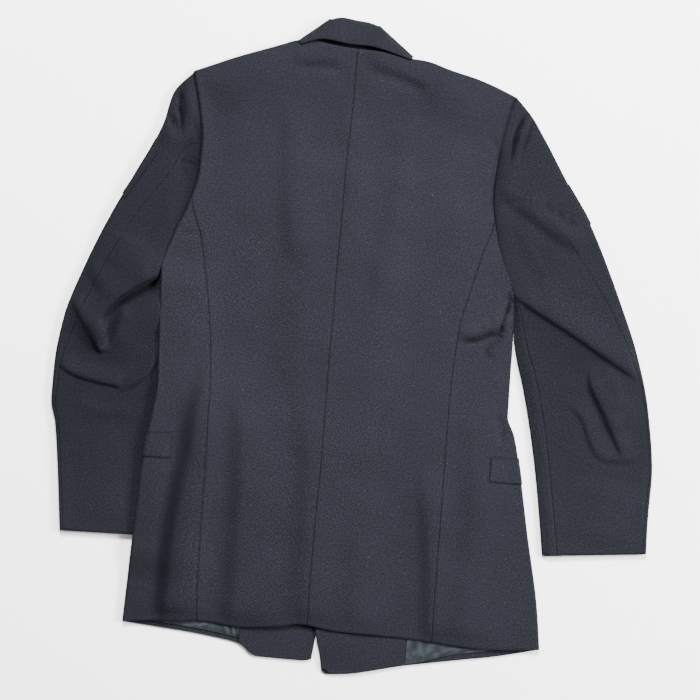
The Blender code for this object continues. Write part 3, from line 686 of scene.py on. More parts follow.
def side_body(side):
    away = AWAY[side]
    v = np.concatenate((hem_shares(SIDE_LENGTH, 170, 1 - 3 / SIDE_LENGTH),
                        1 - np.array([1.6, 0.7, 0]) / SIDE_LENGTH))[:, None]
    hem_seam, hem_side = seam_line(side, -390), side_line(side, -395)
    hem_seam_y, hem_side_y = back_hem(hem_seam), back_hem(hem_side)
    seam_y = blend(hem_seam_y, JUNCTION, v)
    side_y = blend(hem_side_y, UNDERARM - 0.6, v)
    seam_x = seam_line(side, seam_y) + away * SEAM_GAP / 2
    side_x = side_line(side, side_y)
    high, low = upper(side_x, side_y), lower(side_x, side_y)
    fold_x, fold_y, fold_z = turned(side_x, side_y, away, 0.0, high, low)
    inset_x = fold_x[:, :1]

    u = grain_steps(80)[None, :] / 80
    across = u * (inset_x - seam_x) / (side_x - seam_x)
    hem_x = blend(hem_seam + away * SEAM_GAP / 2, hem_side - away * 3, across)
    arm_x = side_line(side, blend(JUNCTION, UNDERARM - 0.6, across)) - away * SEAM_GAP / 2
    straight_hem = blend(hem_seam_y, hem_side_y, across)
    straight_arm = blend(side_line(side, JUNCTION), side_line(side, UNDERARM), across)
    top_x = blend(seam_x, side_x, across) + (arm_x - straight_arm) * v
    top_y = blend(seam_y, side_y, across) + (back_hem(hem_x) - straight_hem) * (1 - v)
    handed_on = ease(1 - np.linspace(0, 2, FOLD_STEPS + 1))[None, :]
    fold_y = side_y + (top_y[:, -1:] - side_y) * handed_on
    fold_x = fold_x + (top_x[:, -1:] - inset_x) * handed_on
    top_x, top_y, u = top_x[:, :-1], top_y[:, :-1], u[:, :-1]
    from_seam = u * np.abs(inset_x - seam_x)
    from_arm = (1 - v) * SIDE_LENGTH
    from_hem = v * SIDE_LENGTH
    press = fading(from_seam, 6) + 0 * top_y
    top_z = upper(top_x, top_y) + seam(from_seam, top_y, 2)
    at_ends = seam(from_arm, top_x, 3) * ARMHOLE_SINK - hem_dip(from_hem)
    top_z = top_z + at_ends * ease((1 - u) / 0.1)

    under = np.linspace(0, 1, 15)[None, 1:]
    under_x, under_y = inset_x + 0 * under, side_y + 0 * under
    for _ in range(5):
        seam_under = side_line(side, under_y)
        seam_under = seam_under - away * (column(UNDER_REACH, 1, under_y) - SEAM_GAP / 2)
        under_x = blend(inset_x, seam_under, under)
        under_y = blend(front_hem(side, under_x), UNDERARM - 0.6, v)
    under_z = lower(under_x, under_y)

    x, y, z = side_by_side((top_x, top_y, top_z), (fold_x, fold_y, fold_z), (under_x, under_y, under_z))
    press = np.concatenate((press, 0.3 + 0 * fold_x, 0 * under_x), 1)
    # Painted shade in the seams, beside the armhole, in the hollows, and on the fold beside the sleeve.
    shade = ditch(np.minimum(from_seam, from_arm / ARMHOLE_SHADE)) + back_hollows(top_x, top_y)
    painted_shade_beside_sleeve = plateau(fold_y, SLEEVE_CONTACT, UNDERARM, 5)
    shade = np.concatenate((shade, painted_shade_beside_sleeve, 0 * under_x), 1)
    return cut_and_lay("side_panel_" + side, x, y, z, x - away * z, y, press, shade)


for side in SIDES:
    lay_down(side_body(side), "side_" + side)


# The fronts. Each is a wide panel of wool that lies underneath, plain where it is hidden, whose hem
# shows below the back's. The right front lies over the left one at the closure.
HIDDEN_GAP = 1.0
LAYER_GAP = 0.4
FRONT_EDGE = (
    # height, left front, right front
    (-444, -33, -17), (-420, -31, -21), (-390, -28, -28.8), (-300, -20, -38), (-150, -11, -49),
    (100, -10, -50), (165, -14, -46), (208, -31, -29.5), (280, -60, -6), (352, -94, 21), (400, -109, 43),
)


FRONT_COLUMN = {"left": 1, "right": 2}


def front_edge(side, y):
    return column(FRONT_EDGE, FRONT_COLUMN[side], y)


def front_panel(side):
    away = AWAY[side]
    height = lower if side == "left" else lower_right
    across = np.linspace(0, 1, 42)[None, :]
    low = np.concatenate(([0.0, 1 / 500, 2.5 / 500], np.linspace(5 / 500, 1, 84)))[:, None]
    high = np.linspace(0, 1, 46)[1:, None]
    parts = []
    for zone, is_low in ((low, True), (high, False)):
        y = (blend(-400.0, UNDERARM, zone) if is_low else blend(UNDERARM, 370.0, zone)) + 0 * across
        for _ in range(6):
            gap = np.where(y < UNDERARM, SEAM_GAP / 2, HIDDEN_GAP)
            outer = side_line(side, y) - away * (column(UNDER_REACH, 1, y) + gap)
            x = blend(outer, front_edge(side, y), across)
            if is_low:
                y = blend(front_hem(side, x), UNDERARM - 0.6, zone)
            else:
                y = blend(UNDERARM - 0.6, shoulder(x) - 5.0, zone)
        parts.append((x, y))
    x, y = (np.concatenate(both) for both in zip(*parts))
    return cut_and_lay("front_panel_" + side, x, y, height(x, y))


for side in SIDES:
    lay_down(front_panel(side), "front_" + side)


# The lapels. Each is the top of its front, turned back flat underneath from the break to the collar.
LAPEL_FOOT = 216.0
LAPEL_EDGE = (
    # height, left lapel, right lapel
    (216, -50, -12), (250, -88, 26), (300, -128, 66), (324, -141, 79), (338, -133, 69), (352, -131, 67),
)
GORGE = {"left": ((-141, 327), (-88, 347.8)), "right": ((14, 343.3), (79, 314.0))}


def lapel(side):
    across = np.linspace(0, 1, 20)[None, :]
    zone = np.linspace(0, 1, 28)[:, None]
    y = blend(LAPEL_FOOT, 345.0, zone) + 0 * across
    for _ in range(5):
        x = blend(front_edge(side, y), column(LAPEL_EDGE, FRONT_COLUMN[side], y), across)
        y = blend(LAPEL_FOOT, column(GORGE[side], 1, x) - 0.5, zone)
    return cut_and_lay("lapel_panel_" + side, x, y, LOWER + 0 * x)


for side in SIDES:
    lay_down(lapel(side), "lapel_" + side)


# The facings and the lining. Inside the fronts, a strip of wool runs beside each closure's edge and
# a satin lining is felled to it and to the hem, where its slack has been pushed into small wrinkles.
INSIDE_TOP = -345.0
FACING_MARGIN = 1.0
FACING_INSET = 0.8
LINING_MARGIN = 7.0
STRIPS = (
    # name, side, from x, to x, margin above the hem, thickness
    ("facing", "left", -131.5, -31.0, FACING_MARGIN, FACING),
    ("facing", "right", -24.0, 95.0, FACING_MARGIN, FACING),
    ("lining", "left", -258.0, -132.5, LINING_MARGIN, SATIN),
    ("lining", "right", 96.0, 246.0, LINING_MARGIN, SATIN),
)
LINING_WRINKLES = (
    (1.3, 2.5, 3.5, (-135, -412), (-134, -400), (-137, -385)),
    (1.1, 2.5, 2.5, (-143, -411), (-141, -398), (-146, -384)),
    (0.8, 3, 4, (-158, -409), (-152, -398), (-156, -385)),
    (0.7, 4, 4, (-178, -405), (-170, -398), (-150, -396)),
    (0.8, 3, 3, (-200, -402), (-192, -395), (-178, -393)),
    (0.9, 3, 4, (104, -420), (112, -405), (108, -388)),
    (0.8, 4, 3, (122, -416), (128, -402), (140, -392)),
    (0.8, 3, 3, (140, -411), (150, -404), (166, -400)),
    (0.7, 2.5, 3, (165, -406), (172, -399), (184, -396)),
    (0.3, 3, 3, (184, -404), (192, -401), (198, -399)),
)
LINING_HOLLOWS = (
    # how dark a hollow is painted, half width on the left hand, on the right hand, then the points
    (1.0, 3.0, 4.0, (-133, -418), (-134, -402), (-136, -380)),
    (0.8, 1.3, 1.6, (-142, -414), (-142, -401), (-147, -386)),
    (0.7, 1.2, 1.8, (-156, -410), (-152, -400), (-158, -384)),
    (0.5, 1.2, 1.5, (-182, -407), (-170, -398), (-160, -388)),
    (0.5, 1.2, 1.5, (-210, -404), (-196, -396), (-184, -388)),
    (0.5, 1.2, 1.6, (104, -420), (112, -408), (122, -392)),
    (0.6, 1.2, 1.6, (124, -416), (132, -405), (152, -396)),
    (0.7, 1.3, 1.8, (140, -413), (152, -404), (170, -396)),
    (0.8, 1.5, 2.4, (156, -410), (170, -402), (192, -396)),
    (0.9, 1.5, 3.0, (172, -408), (192, -402), (222, -396)),
)
SATIN_DARK = (0.005, 0.0065, 0.008, 1)
SATIN_LIGHT = (0.018, 0.0222, 0.0268, 1)
SATIN_SHADE = (0.22, 0.22, 0.24, 1)


def satin_cloth():
    material, shader, thread = bare_cloth("satin_lining", 0.17, 0.0, 0.5)
    cut = thread.cut_place()
    stretched = cut.scaled((3.0, 0.3, 1.0))
    yarn = thread.noise(stretched, 1.0, 2.0, 0.6)
    clouds = thread.noise(cut, 0.09, 3.0, 0.6)
    # Painted sheen: the satin's colour is painted lighter in soft clouds and along its yarn.
    sheen = (yarn * 0.35 + clouds.between(0.35, 0.65) * 0.65).mix(SATIN_DARK, SATIN_LIGHT)
    # Painted shade in the lining's wrinkles: the shade mark darkens the satin towards SATIN_SHADE and
    # roughens its shine.
    hollow = thread.mark("shade")
    colour = sheen.scaled(hollow.mix(UNSHADED, SATIN_SHADE))
    finish_cloth(shader, thread, colour, 0.36 + clouds * 0.2 + hollow * 0.4, yarn * 0.3 + clouds * 1.0, 0.25)
    return material


satin = satin_cloth()


def inside_strip(name, side, first, last, margin, thickness, cloth):
    height = lower if side == "left" else lower_right
    across = np.linspace(0, 1, round(abs(last - first) / 1.5) + 1)[None, :]
    zone = np.linspace(0, 1, 52)[:, None]
    x = blend(first, last, across) + 0 * zone
    if name == "lining" and side == "right":
        margin = blend(1.6, margin + 1.5, ease((x - first) / 70))
    y = blend(front_hem(side, x) + margin, INSIDE_TOP, zone)
    if name == "facing":
        edge = front_edge(side, y) + AWAY[side] * FACING_INSET
        x = blend(first, edge, across) if side == "left" else blend(edge, last, across)
    z = height(x, y) + WOOL / 2 + LAYER_GAP + thickness / 2
    if name == "lining":
        fullness = folds_at(x, y, LINING_WRINKLES)
        z = z + np.minimum(fullness, 1.6) * ease((y - front_hem(side, x) - margin) / 4)
    # Painted shade in the lining's wrinkles.
    hollows = folds_at(x, y, LINING_HOLLOWS) if name == "lining" else 0 * x
    return cut_and_lay(f"{name}_strip_{side}", x, y, z, shade=hollows, thickness=thickness, cloth=cloth)


for name, side, first, last, margin, thickness in STRIPS:
    piece = inside_strip(name, side, first, last, margin, thickness, satin if name == "lining" else wool)
    lay_down(piece, f"{name}_{side}")


# The sleeves. Each is a tube of two pieces: the under sleeve, which faces up here, and the top
# sleeve, which wraps round both edges and underneath. The elbows have crushed into deep folds.
TUCKED_AIR = 1.0
ARMHOLE_GAP = 0.15
TRIM_GAP = 0.8
PATCH = 1.0
PATCH_LIFT = PATCH + TRIM_GAP
SLEEVES = {
    # station, inner x, inner y, outer x, outer y, forearm seam, hindarm seam (shares of the width)
    "left": (
        (0, -275.3, 87, -255, 355.5, 0.04, 0.66),
        (0.5, -275.4, 80, -278, 327, 0.05, 0.69),
        (1, -275.4, 72, -288, 284, 0.06, 0.70),
        (2, -274.0, 54, -319, 214, 0.08, 0.75),
        (3, -262, 34, -345, 163, 0.10, 0.79),
        (4, -249, 6, -376.5, 90, 0.11, 0.85),
        (5, -244, -30, -403, 8, 0.12, 0.90),
        (6, -242, -75, -410.5, -55, 0.12, 0.94),
        (6.5, -242, -98, -411, -98, 0.12, 0.95),
        (7, -242, -120, -403.5, -130, 0.12, 0.96),
        (8, -243, -170, -396, -186, 0.13, 0.96),
        (9, -244, -223, -391, -231, 0.13, 0.96),
        (10, -245, -276, -386, -278, 0.14, 0.96),
    ),
    "right": (
        (0, 205.3, 87, 188, 356, 0.04, 0.60),
        (0.5, 205.7, 80, 212, 330, 0.05, 0.63),
        (1, 206.3, 74, 230, 303, 0.06, 0.66),
        (2, 207.3, 62, 268, 241, 0.08, 0.70),
        (3, 208.6, 46, 298.5, 195, 0.09, 0.76),
        (4, 210.0, 26, 330, 133, 0.10, 0.84),
        (5, 215, 2, 352, 84, 0.11, 0.90),
        (6, 224, -28, 378, 20, 0.12, 0.94),
        (7, 237, -78, 399, -55, 0.12, 0.96),
        (8, 252, -150, 411, -145, 0.12, 0.96),
        (9, 262, -210, 410, -200, 0.13, 0.96),
        (10, 270, -263.5, 411, -250.5, 0.14, 0.96),
    ),
}
SLEEVE_DRAPE = {
    "left": (
        (4.0, 30, 22, (-372, 62), (-340, 84), (-285, 112)),
        (6.5, 24, 26, (-240, 66), (-268, 40), (-302, 14), (-322, -14), (-326, -50)),
        (2.0, 30, 30, (-330, -130), (-328, -200), (-330, -270)),
        (1.6, 24, 24, (-322, 130), (-330, 110), (-345, 84)),
    ),
    "right": (
        (4.0, 40, 30, (196, 104), (245, 70), (294, 46), (340, 20), (392, -10)),
        (3.0, 26, 12, (328, -14), (346, -50), (366, -92)),
        (1.7, 13, 15, (196, 218), (244, 184), (300, 152)),
        (2.0, 34, 34, (345, -150), (345, -200), (346, -246)),
    ),
}
SLEEVE_CREASES = {
    "left": (
        (-3.8, 3, 4, (-261, 342), (-267, 314), (-261, 286)),
        (-3.8, 3, 3, (-284, 294), (-266, 281), (-250, 282), (-232, 290)),
        (5.0, 8, 6, (-250, 336), (-255, 296)),
        (3.0, 12, 8, (-276, 336), (-282, 310), (-282, 290)),
        (3.0, 8, 8, (-288, 270), (-262, 266), (-240, 272)),
        (-1.8, 1.5, 1.5, (-285.5, 264), (-308, 225), (-333, 181)),
        (-7.0, 12, 8, (-236, 74), (-262, 66), (-284, 58), (-306, 44), (-326, 26)),
        (-11.0, 7, 6, (-244, 88), (-262, 80), (-280, 68), (-301, 52), (-322, 42), (-334, 22), (-341, -8),
         (-344, -30)),
        (-1.2, 3, 3, (-256, 236), (-245, 238), (-238, 233)),
        (-1.0, 4, 4, (-251, 223), (-262, 211)),
        (-1.0, 4, 4, (-276, -84), (-289, -101)),
        (-0.8, 3, 3, (-289, -121), (-298, -132)),
        (-1.2, 5, 8, (-277, -8), (-262, -2), (-250, -3)),
        (1.3, 9, 9, (-300, -108), (-340, -112), (-380, -100)),
    ),
    "right": (
        (-3.4, 3, 4, (203, 336), (193, 307), (187, 280)),
        (-3.0, 3, 3, (170, 272), (190, 281), (204, 294)),
        (4.2, 7, 5, (208, 334), (200, 306), (194, 282)),
        (-3.2, 3, 4, (217, 326), (207, 302), (201, 280)),
        (1.9, 14, 11, (176, 232), (196, 222), (226, 202), (262, 178), (300, 156)),
        (-1.3, 7, 9, (170, 216), (191, 204), (220, 186), (256, 162), (300, 138)),
        (-1.2, 5, 5, (245, 209), (262, 202), (280, 192)),
        (-1.0, 5, 6, (180, 205), (200, 214), (222, 208)),
        (-1.0, 4, 4, (328, -118), (339, -126), (357, -131), (378, -130), (394, -125)),
        (1.6, 10, 10, (332, 0), (352, -30), (362, -60)),
    ),
}
SLEEVE_LIPS = {
    # rise, lean, width above its line, width below, then the line's points with the hollow to the left
    "left": (
        (10.0, 6.0, 20, 8, (-256, 96), (-290, 79), (-322, 57), (-342, 40), (-358, 14), (-352, -12),
         (-347, -34)),
        (4.2, 2.6, 13, 4, (-344, -34), (-362, -8), (-377, 16), (-391, 44)),
        (3.6, 2.2, 14, 4, (-316, -74), (-345, -70), (-378, -63), (-408, -48)),
        (3.6, 2.2, 14, 4, (-262, -22), (-274, -40), (-291, -62), (-322, -84)),
    ),
    "right": (
        (4.5, 2.0, 22, 6, (392, -16), (336, 16), (294, 41), (248, 66), (222, 81), (196, 98)),
        (3.8, 2.4, 14, 4, (371, -118), (357, -92), (340, -60), (323, -30), (315, 0)),
        (2.6, 1.2, 14, 4, (392, -120), (346, -126), (328, -108), (311, -71), (286, -52)),
    ),
}
PATCH_STATIONS = {"left": (1.3, 2.6), "right": (2, 3.1)}
PATCH_EDGES = {"left": (0.915, 0.955), "right": (0.99, 0.99)}
PATCH_TURNS = {"left": 0, "right": 5}
PATCH_UNDER = 0.55
# Painted shade over each sleeve and its patch.
SLEEVE_SHADE = {"left": 0.85, "right": 0.75}
SLEEVE_HOLLOWS = {
    # how dark a hollow is painted, half width on the left hand, on the right hand, then the points
    "left": (
        (1.2, 2.5, 2.5, (-261, 345), (-266, 318), (-266, 303), (-261, 288)),
        (1.4, 2.2, 2.2, (-276, 293), (-266, 285), (-254, 284), (-232, 291)),
        (1.0, 2, 2, (-260, 236), (-248, 234), (-232, 230)),
        (1.2, 1.5, 1.5, (-286, 266), (-302, 239), (-318, 211), (-333, 181)),
    ),
    "right": (
        (0.9, 2.2, 2.2, (205, 336), (194, 310), (190, 284)),
        (0.9, 2.2, 2.2, (166, 276), (180, 277), (197, 280)),
        (0.7, 2.2, 2.2, (216, 326), (207, 302), (202, 284)),
        (0.6, 2.5, 4, (238, 214), (262, 200), (286, 186)),
    ),
}
EDGE_PRESS = 0.25
STATION_LENGTH = 50.0
LAST_STATION = 10
ARMHOLE_SHADOW = 14.0
ARMHOLE_NOTCH = 294.0


def sleeve_plan(side, station, share):
    """A place in plan on a sleeve: across it by share, from its inner to its outer edge."""
    table = SLEEVES[side]
    away = AWAY[side]
    inner = column(table, 1, station), column(table, 2, station)
    outer = column(table, 3, station), column(table, 4, station)
    first, last = table[0][1:3], table[0][3:5]
    chord_x, chord_y = blend(first[0], last[0], share), blend(first[1], last[1], share)
    armhole_x = side_line(side, chord_y) + away * (ARMHOLE_GAP - SEAM_GAP / 2)
    bow = (armhole_x - chord_x) * np.maximum(0.0, 1 - station / 3) ** 2
    return blend(inner[0], outer[0], share) + bow, blend(inner[1], outer[1], share)


def sleeve_lift(side, station, share):
    """How far the sewn patch lifts the sleeve that lies on it."""
    first, last = PATCH_STATIONS[side]
    return PATCH_LIFT * plateau(station, first - 0.5, last + 0.5, 0.8) * ease((share - 0.3) / 0.15)


def sleeve_lower(side, station, share):
    return LOWER + sleeve_lift(side, station, share)


def clear_of_body(side, station, share):
    """Nought where a sleeve is tucked under the body, one where it lies free."""
    start = blend(0.11, 0.22, ease((station - 4) / 5)) if side == "left" else 0.0
    return ease((share - start) / 0.09)


def sleeve_upper(side, station, share):
    """The height of the cloth that faces up."""
    x, y = sleeve_plan(side, station, share)
    free = clear_of_body(side, station, share)
    air = blend(TUCKED_AIR, AIR, free)
    outer_edge = ease((1.0 - share) / 0.08)
    drape = np.maximum(folds_at(x, y, SLEEVE_DRAPE[side], 0.3, 0.3), -2.0)
    creases = folds_at(x, y, SLEEVE_CREASES[side], 0.2, 0.2) + settled(x, y, 7)
    for rise, _, above, below, *points in SLEEVE_LIPS[side]:
        drape = drape + folds_at(x, y, ((rise, below, above, *points),), 0.12, 0.25)
    crease = np.maximum(drape * free + creases * blend(0.45, 1.0, free), -3.2) * outer_edge
    height = LOWER + WOOL + air + sleeve_lift(side, station, share)
    joined = 1 - ease(station / 1.3)
    armhole_x, armhole_y = sleeve_plan(side, 0 * station, share)
    return blend(height, upper(armhole_x, armhole_y) - 0.8, joined) + crease * ease(station / 0.25)


def leaning(side, x, y, station, share):
    """Moves the crest of each crushed fold out over its hollow."""
    free = clear_of_body(side, station, share)
    for _, lean, above, below, *points in SLEEVE_LIPS[side]:
        nearest, on, along, out_x, out_y = off_line(x, y, points)
        half = np.where(on > 0, below, above)
        push = lean * fading(nearest, half) * ease(along / 0.12) * ease((1 - along) / 0.25) * free
        x, y = x + out_x * push, y + out_y * push
    return x, y


def sleeve_sections(side, station):
    """What every section of a sleeve has: both rounded edges, and the shares where they start."""
    inner_x, inner_y = sleeve_plan(side, station, 0.0)
    outer_x, outer_y = sleeve_plan(side, station, 1.0)
    width = np.hypot(outer_x - inner_x, outer_y - inner_y)
    way_x, way_y = (outer_x - inner_x) / width, (outer_y - inner_y) / width
    inner_levels = sleeve_upper(side, station, 0 * station), sleeve_lower(side, station, 0 * station)
    outer_levels = sleeve_upper(side, station, 0 * station + 1), sleeve_lower(side, station, 0 * station + 1)
    inner_fold = turned(inner_x, inner_y, -way_x, -way_y, *inner_levels)
    outer_fold = turned(outer_x, outer_y, way_x, way_y, *outer_levels)
    start = (inner_levels[0] - inner_levels[1] + WOOL) / 2 / width
    end = 1 - (outer_levels[0] - outer_levels[1] + WOOL) / 2 / width
    return width, inner_fold, outer_fold, start, end


def over(side, station, share, from_seam, from_armhole):
    """The upper layer at a share, shaped by the seam beside it and by the armhole."""
    x, y = sleeve_plan(side, station, share)
    z = sleeve_upper(side, station, share) + seam(from_seam, station * 60, 4) * 0.6
    z = z - 1.4 * fading(from_armhole, 2.0) - hem_dip((LAST_STATION - station) * STATION_LENGTH)
    x, y = leaning(side, x, y, station, share)
    return x, y, z


def sleeve_hollows(side, x, y, from_armhole):
    """The shade painted in a sleeve's hollows, and beside the armhole below its notch."""
    below = ease((ARMHOLE_NOTCH - y) / 20)
    armhole = ditch(from_armhole / blend(1.0, ARMHOLE_SHADE, below))
    shadow = 0.6 * below * fading(from_armhole, ARMHOLE_SHADOW)
    return armhole + shadow + folds_at(x, y, SLEEVE_HOLLOWS[side], 0.15, 0.15)


def sleeve(side):
    table = SLEEVES[side]
    station = np.concatenate(([0, 0.012, 0.03, 0.06], np.linspace(0.1, 7, 190), np.linspace(7, 9.98, 54)[1:],
                              [9.99, 10]))[:, None]
    from_armhole = station * STATION_LENGTH
    width, inner_fold, outer_fold, start, end = sleeve_sections(side, station)
    forearm = np.maximum(column(table, 5, station), start + 0.01)
    hindarm = np.minimum(column(table, 6, station) + 0.02 * ease((station - 5) / 2), end - 0.004)
    gap = SEAM_GAP / 2 / 150
    nominal = 105.0
    steps = grain_steps(nominal, step=2.2)[None, :] / nominal
    share = blend(forearm + gap, hindarm - gap, steps)
    from_seam = np.minimum(share - forearm, hindarm - share) * width
    x, y, z = over(side, station, share, from_seam, from_armhole)
    press = fading(from_seam, 5)
    # Painted shade: the sleeve darker all over, less towards the cuff, and more in its seams and hollows and
    # beside the armhole.
    shade = SLEEVE_SHADE[side] * (1 - ease((station - 6) / 4) * 0.7)
    shaded = shade + ditch(from_seam) + sleeve_hollows(side, x, y, from_armhole)
    under_sleeve = cut_and_lay("under_sleeve_panel_" + side, x, y, z, press=press, shade=shaded)

    edge_steps = np.array([0.0, 0.06, 0.13, 0.25, 0.4, 0.55, 0.7, 0.85])[None, :]
    hind = blend(hindarm + gap, end, edge_steps)
    hind_x, hind_y, hind_z = over(side, station, hind, (hind - hindarm) * width, from_armhole)
    under_share = blend(end, start, np.linspace(0, 1, 34)[None, 1:-1])
    under_x, under_y = sleeve_plan(side, station, under_share)
    under_z = sleeve_lower(side, station, under_share)
    fore = blend(start, forearm - gap, 1 - edge_steps[:, ::-1])
    fore_x, fore_y, fore_z = over(side, station, fore, (forearm - fore) * width, from_armhole)
    back_along = [each[:, ::-1] for each in inner_fold]
    x, y, z = side_by_side((hind_x, hind_y, hind_z), outer_fold, (under_x, under_y, under_z), back_along,
                           (fore_x, fore_y, fore_z))
    cut_u = x - AWAY[side] * z
    # Painted shade, as on the under sleeve.
    shaded = shade + sleeve_hollows(side, x, y, from_armhole)
    top_sleeve = cut_and_lay("top_sleeve_panel_" + side, x, y, z, cut_u, y, EDGE_PRESS, shaded)
    return under_sleeve, top_sleeve


for side in SIDES:
    under_sleeve, top_sleeve = sleeve(side)
    lay_down(under_sleeve, "under_sleeve_" + side)
    lay_down(top_sleeve, "top_sleeve_" + side)


# The sleeve patches. A thin square of plain wool is sewn round each sleeve's outer edge below the
# shoulder, bare of any badge, and stands a little off the cloth at its edges.
def sleeve_patch(side):
    out = WOOL / 2 + TRIM_GAP + PATCH / 2
    first, last = PATCH_STATIONS[side]
    station = np.linspace(first, last, 34)[:, None]
    _, _, outer_fold, _, end = sleeve_sections(side, station)
    edge = blend(*PATCH_EDGES[side], (station - first) / (last - first))
    top = blend(np.minimum(edge, end - 0.002), end, np.linspace(0, 1, 7)[None, :-1])
    top_x, top_y = sleeve_plan(side, station, top)
    top_z = sleeve_upper(side, station, top) + out
    fold_x, fold_y, fold_z = outer_fold
    middle_x, middle_y = (fold_x[:, :1] + fold_x[:, -1:]) / 2, (fold_y[:, :1] + fold_y[:, -1:]) / 2
    middle_z = (fold_z[:, :1] + fold_z[:, -1:]) / 2
    radius = np.abs(fold_z[:, :1] - fold_z[:, -1:]) / 2
    grown = (radius + out) / radius
    fold_x, fold_y, fold_z = (blend(a, b, grown) for a, b in (
        (middle_x, fold_x), (middle_y, fold_y), (middle_z, fold_z)))
    low = blend(end, PATCH_UNDER, np.linspace(0, 1, 20)[None, 1:])
    low_x, low_y = sleeve_plan(side, station, low)
    low_z = sleeve_lower(side, station, low) - out
    begin = PATCH_TURNS[side] and PATCH_TURNS[side] + top.shape[1]
    stretches = side_by_side((top_x, top_y, top_z), (fold_x, fold_y, fold_z), (low_x, low_y, low_z))
    x, y, z = (each[:, begin:] for each in stretches)
    # Painted shade, as on its sleeve.
    return cut_and_lay("patch_" + side, x, y, z, shade=SLEEVE_SHADE[side], thickness=PATCH)


for side in SIDES:
    lay_down(sleeve_patch(side), "sleeve_patch_" + side)


# The pocket flaps. A faced flap of wool is sewn into each front's hip pocket along its top edge, and
# its end comes round the side onto the back, lying loose with a pressed edge.
FLAP = 1.0
FLAP_GAP = 0.2
# How wide the painted shade along the flap's edges is.
FLAP_RIM = 1.7
FLAP_TOP = -134.0
FLAP_DEPTH = 35.0
FLAP_END = {"left": -241.5, "right": 190.0}
FLAP_LENGTH = 160.0


def pocket_flap(side):
    away = AWAY[side]
    out = WOOL / 2 + FLAP_GAP + FLAP / 2
    end_x = FLAP_END[side]
    middle_x = side_line(side, FLAP_TOP - FLAP_DEPTH / 2)
    under_end = middle_x - away * (FLAP_LENGTH - abs(middle_x - end_x))
    y = (FLAP_TOP - grain_steps(FLAP_DEPTH, step=1.6))[:, None]
    side_x = side_line(side, y)
    high, low = upper(side_x, y), lower(side_x, y)
    fold_x, _, fold_z = turned(side_x, y, away, 0.0, high + out, low - out)
    fold_x = fold_x + away * out
    inset_x = fold_x[:, :1]
    top = grain_steps(40, last=False, step=1.6)[None, :-1] / 40
    top_x = blend(end_x, inset_x, top)
    under = np.linspace(0, 1, 40)[None, 1:]
    under_x = blend(inset_x, under_end, under)
    x = np.concatenate((top_x, fold_x, under_x), 1)
    y = y + 0 * x
    rim = fading(np.abs(top_x - end_x), 1.2)
    top_z = upper(top_x, y[:, :top_x.shape[1]]) + out - 0.6 * rim
    z = np.concatenate((top_z, fold_z, lower(under_x, y[:, :under_x.shape[1]]) - out), 1)
    foot = fading(y - FLAP_TOP, 1.5) * 0.3 + fading(y - FLAP_TOP + FLAP_DEPTH, 1.0) * 0.5
    z[:, :top_x.shape[1]] -= foot[:, :top_x.shape[1]]
    press = fading(np.abs(x - end_x), 4)
    # Painted shade along the flap's end and its top and bottom edges.
    rims = np.minimum(np.abs(x - end_x), np.minimum(FLAP_TOP - y, y - FLAP_TOP + FLAP_DEPTH))
    return cut_and_lay("flap_" + side, x, y, z, press=press, shade=ditch(rims / FLAP_RIM), thickness=FLAP)


for side in SIDES:
    lay_down(pocket_flap(side), "pocket_flap_" + side)


# The collar. The stand rises from the neck seam, and the fall turns over it along the roll and lies
# across the back of the neck, its free edge a little clear of the cloth. Its ends turn over at the
# shoulders and lie underneath, where they meet the lapels at the gorge.
COLLAR_FOLDS = {
    # roll x, roll y, free edge x, free edge y
    "left": (-72, 442, -113, 409.5),
    "right": (-4, 437.5, 45, 399),
}
COLLAR_BACK = (
    # roll x, roll y, free edge x, free edge y
    (-55, 444.1, -80, 413), (-36, 441.9, -42, 409), (-18, 439.8, -8, 407.3),
)
COLLAR_DEPTH = 36.0
COLLAR_CROWN = 1.6
COLLAR_ROLL = 2.2
# Painted shade: how much darker the fall and the stand are painted.
COLLAR_SHADE = 0.6
STAND_SHADE = 1.0
COLLAR_END = 92.0
COLLAR_END_FREE = 73.0


def collar_top(x, y):
    return upper(x, np.minimum(y, 400.0)) + WOOL + LAYER_GAP


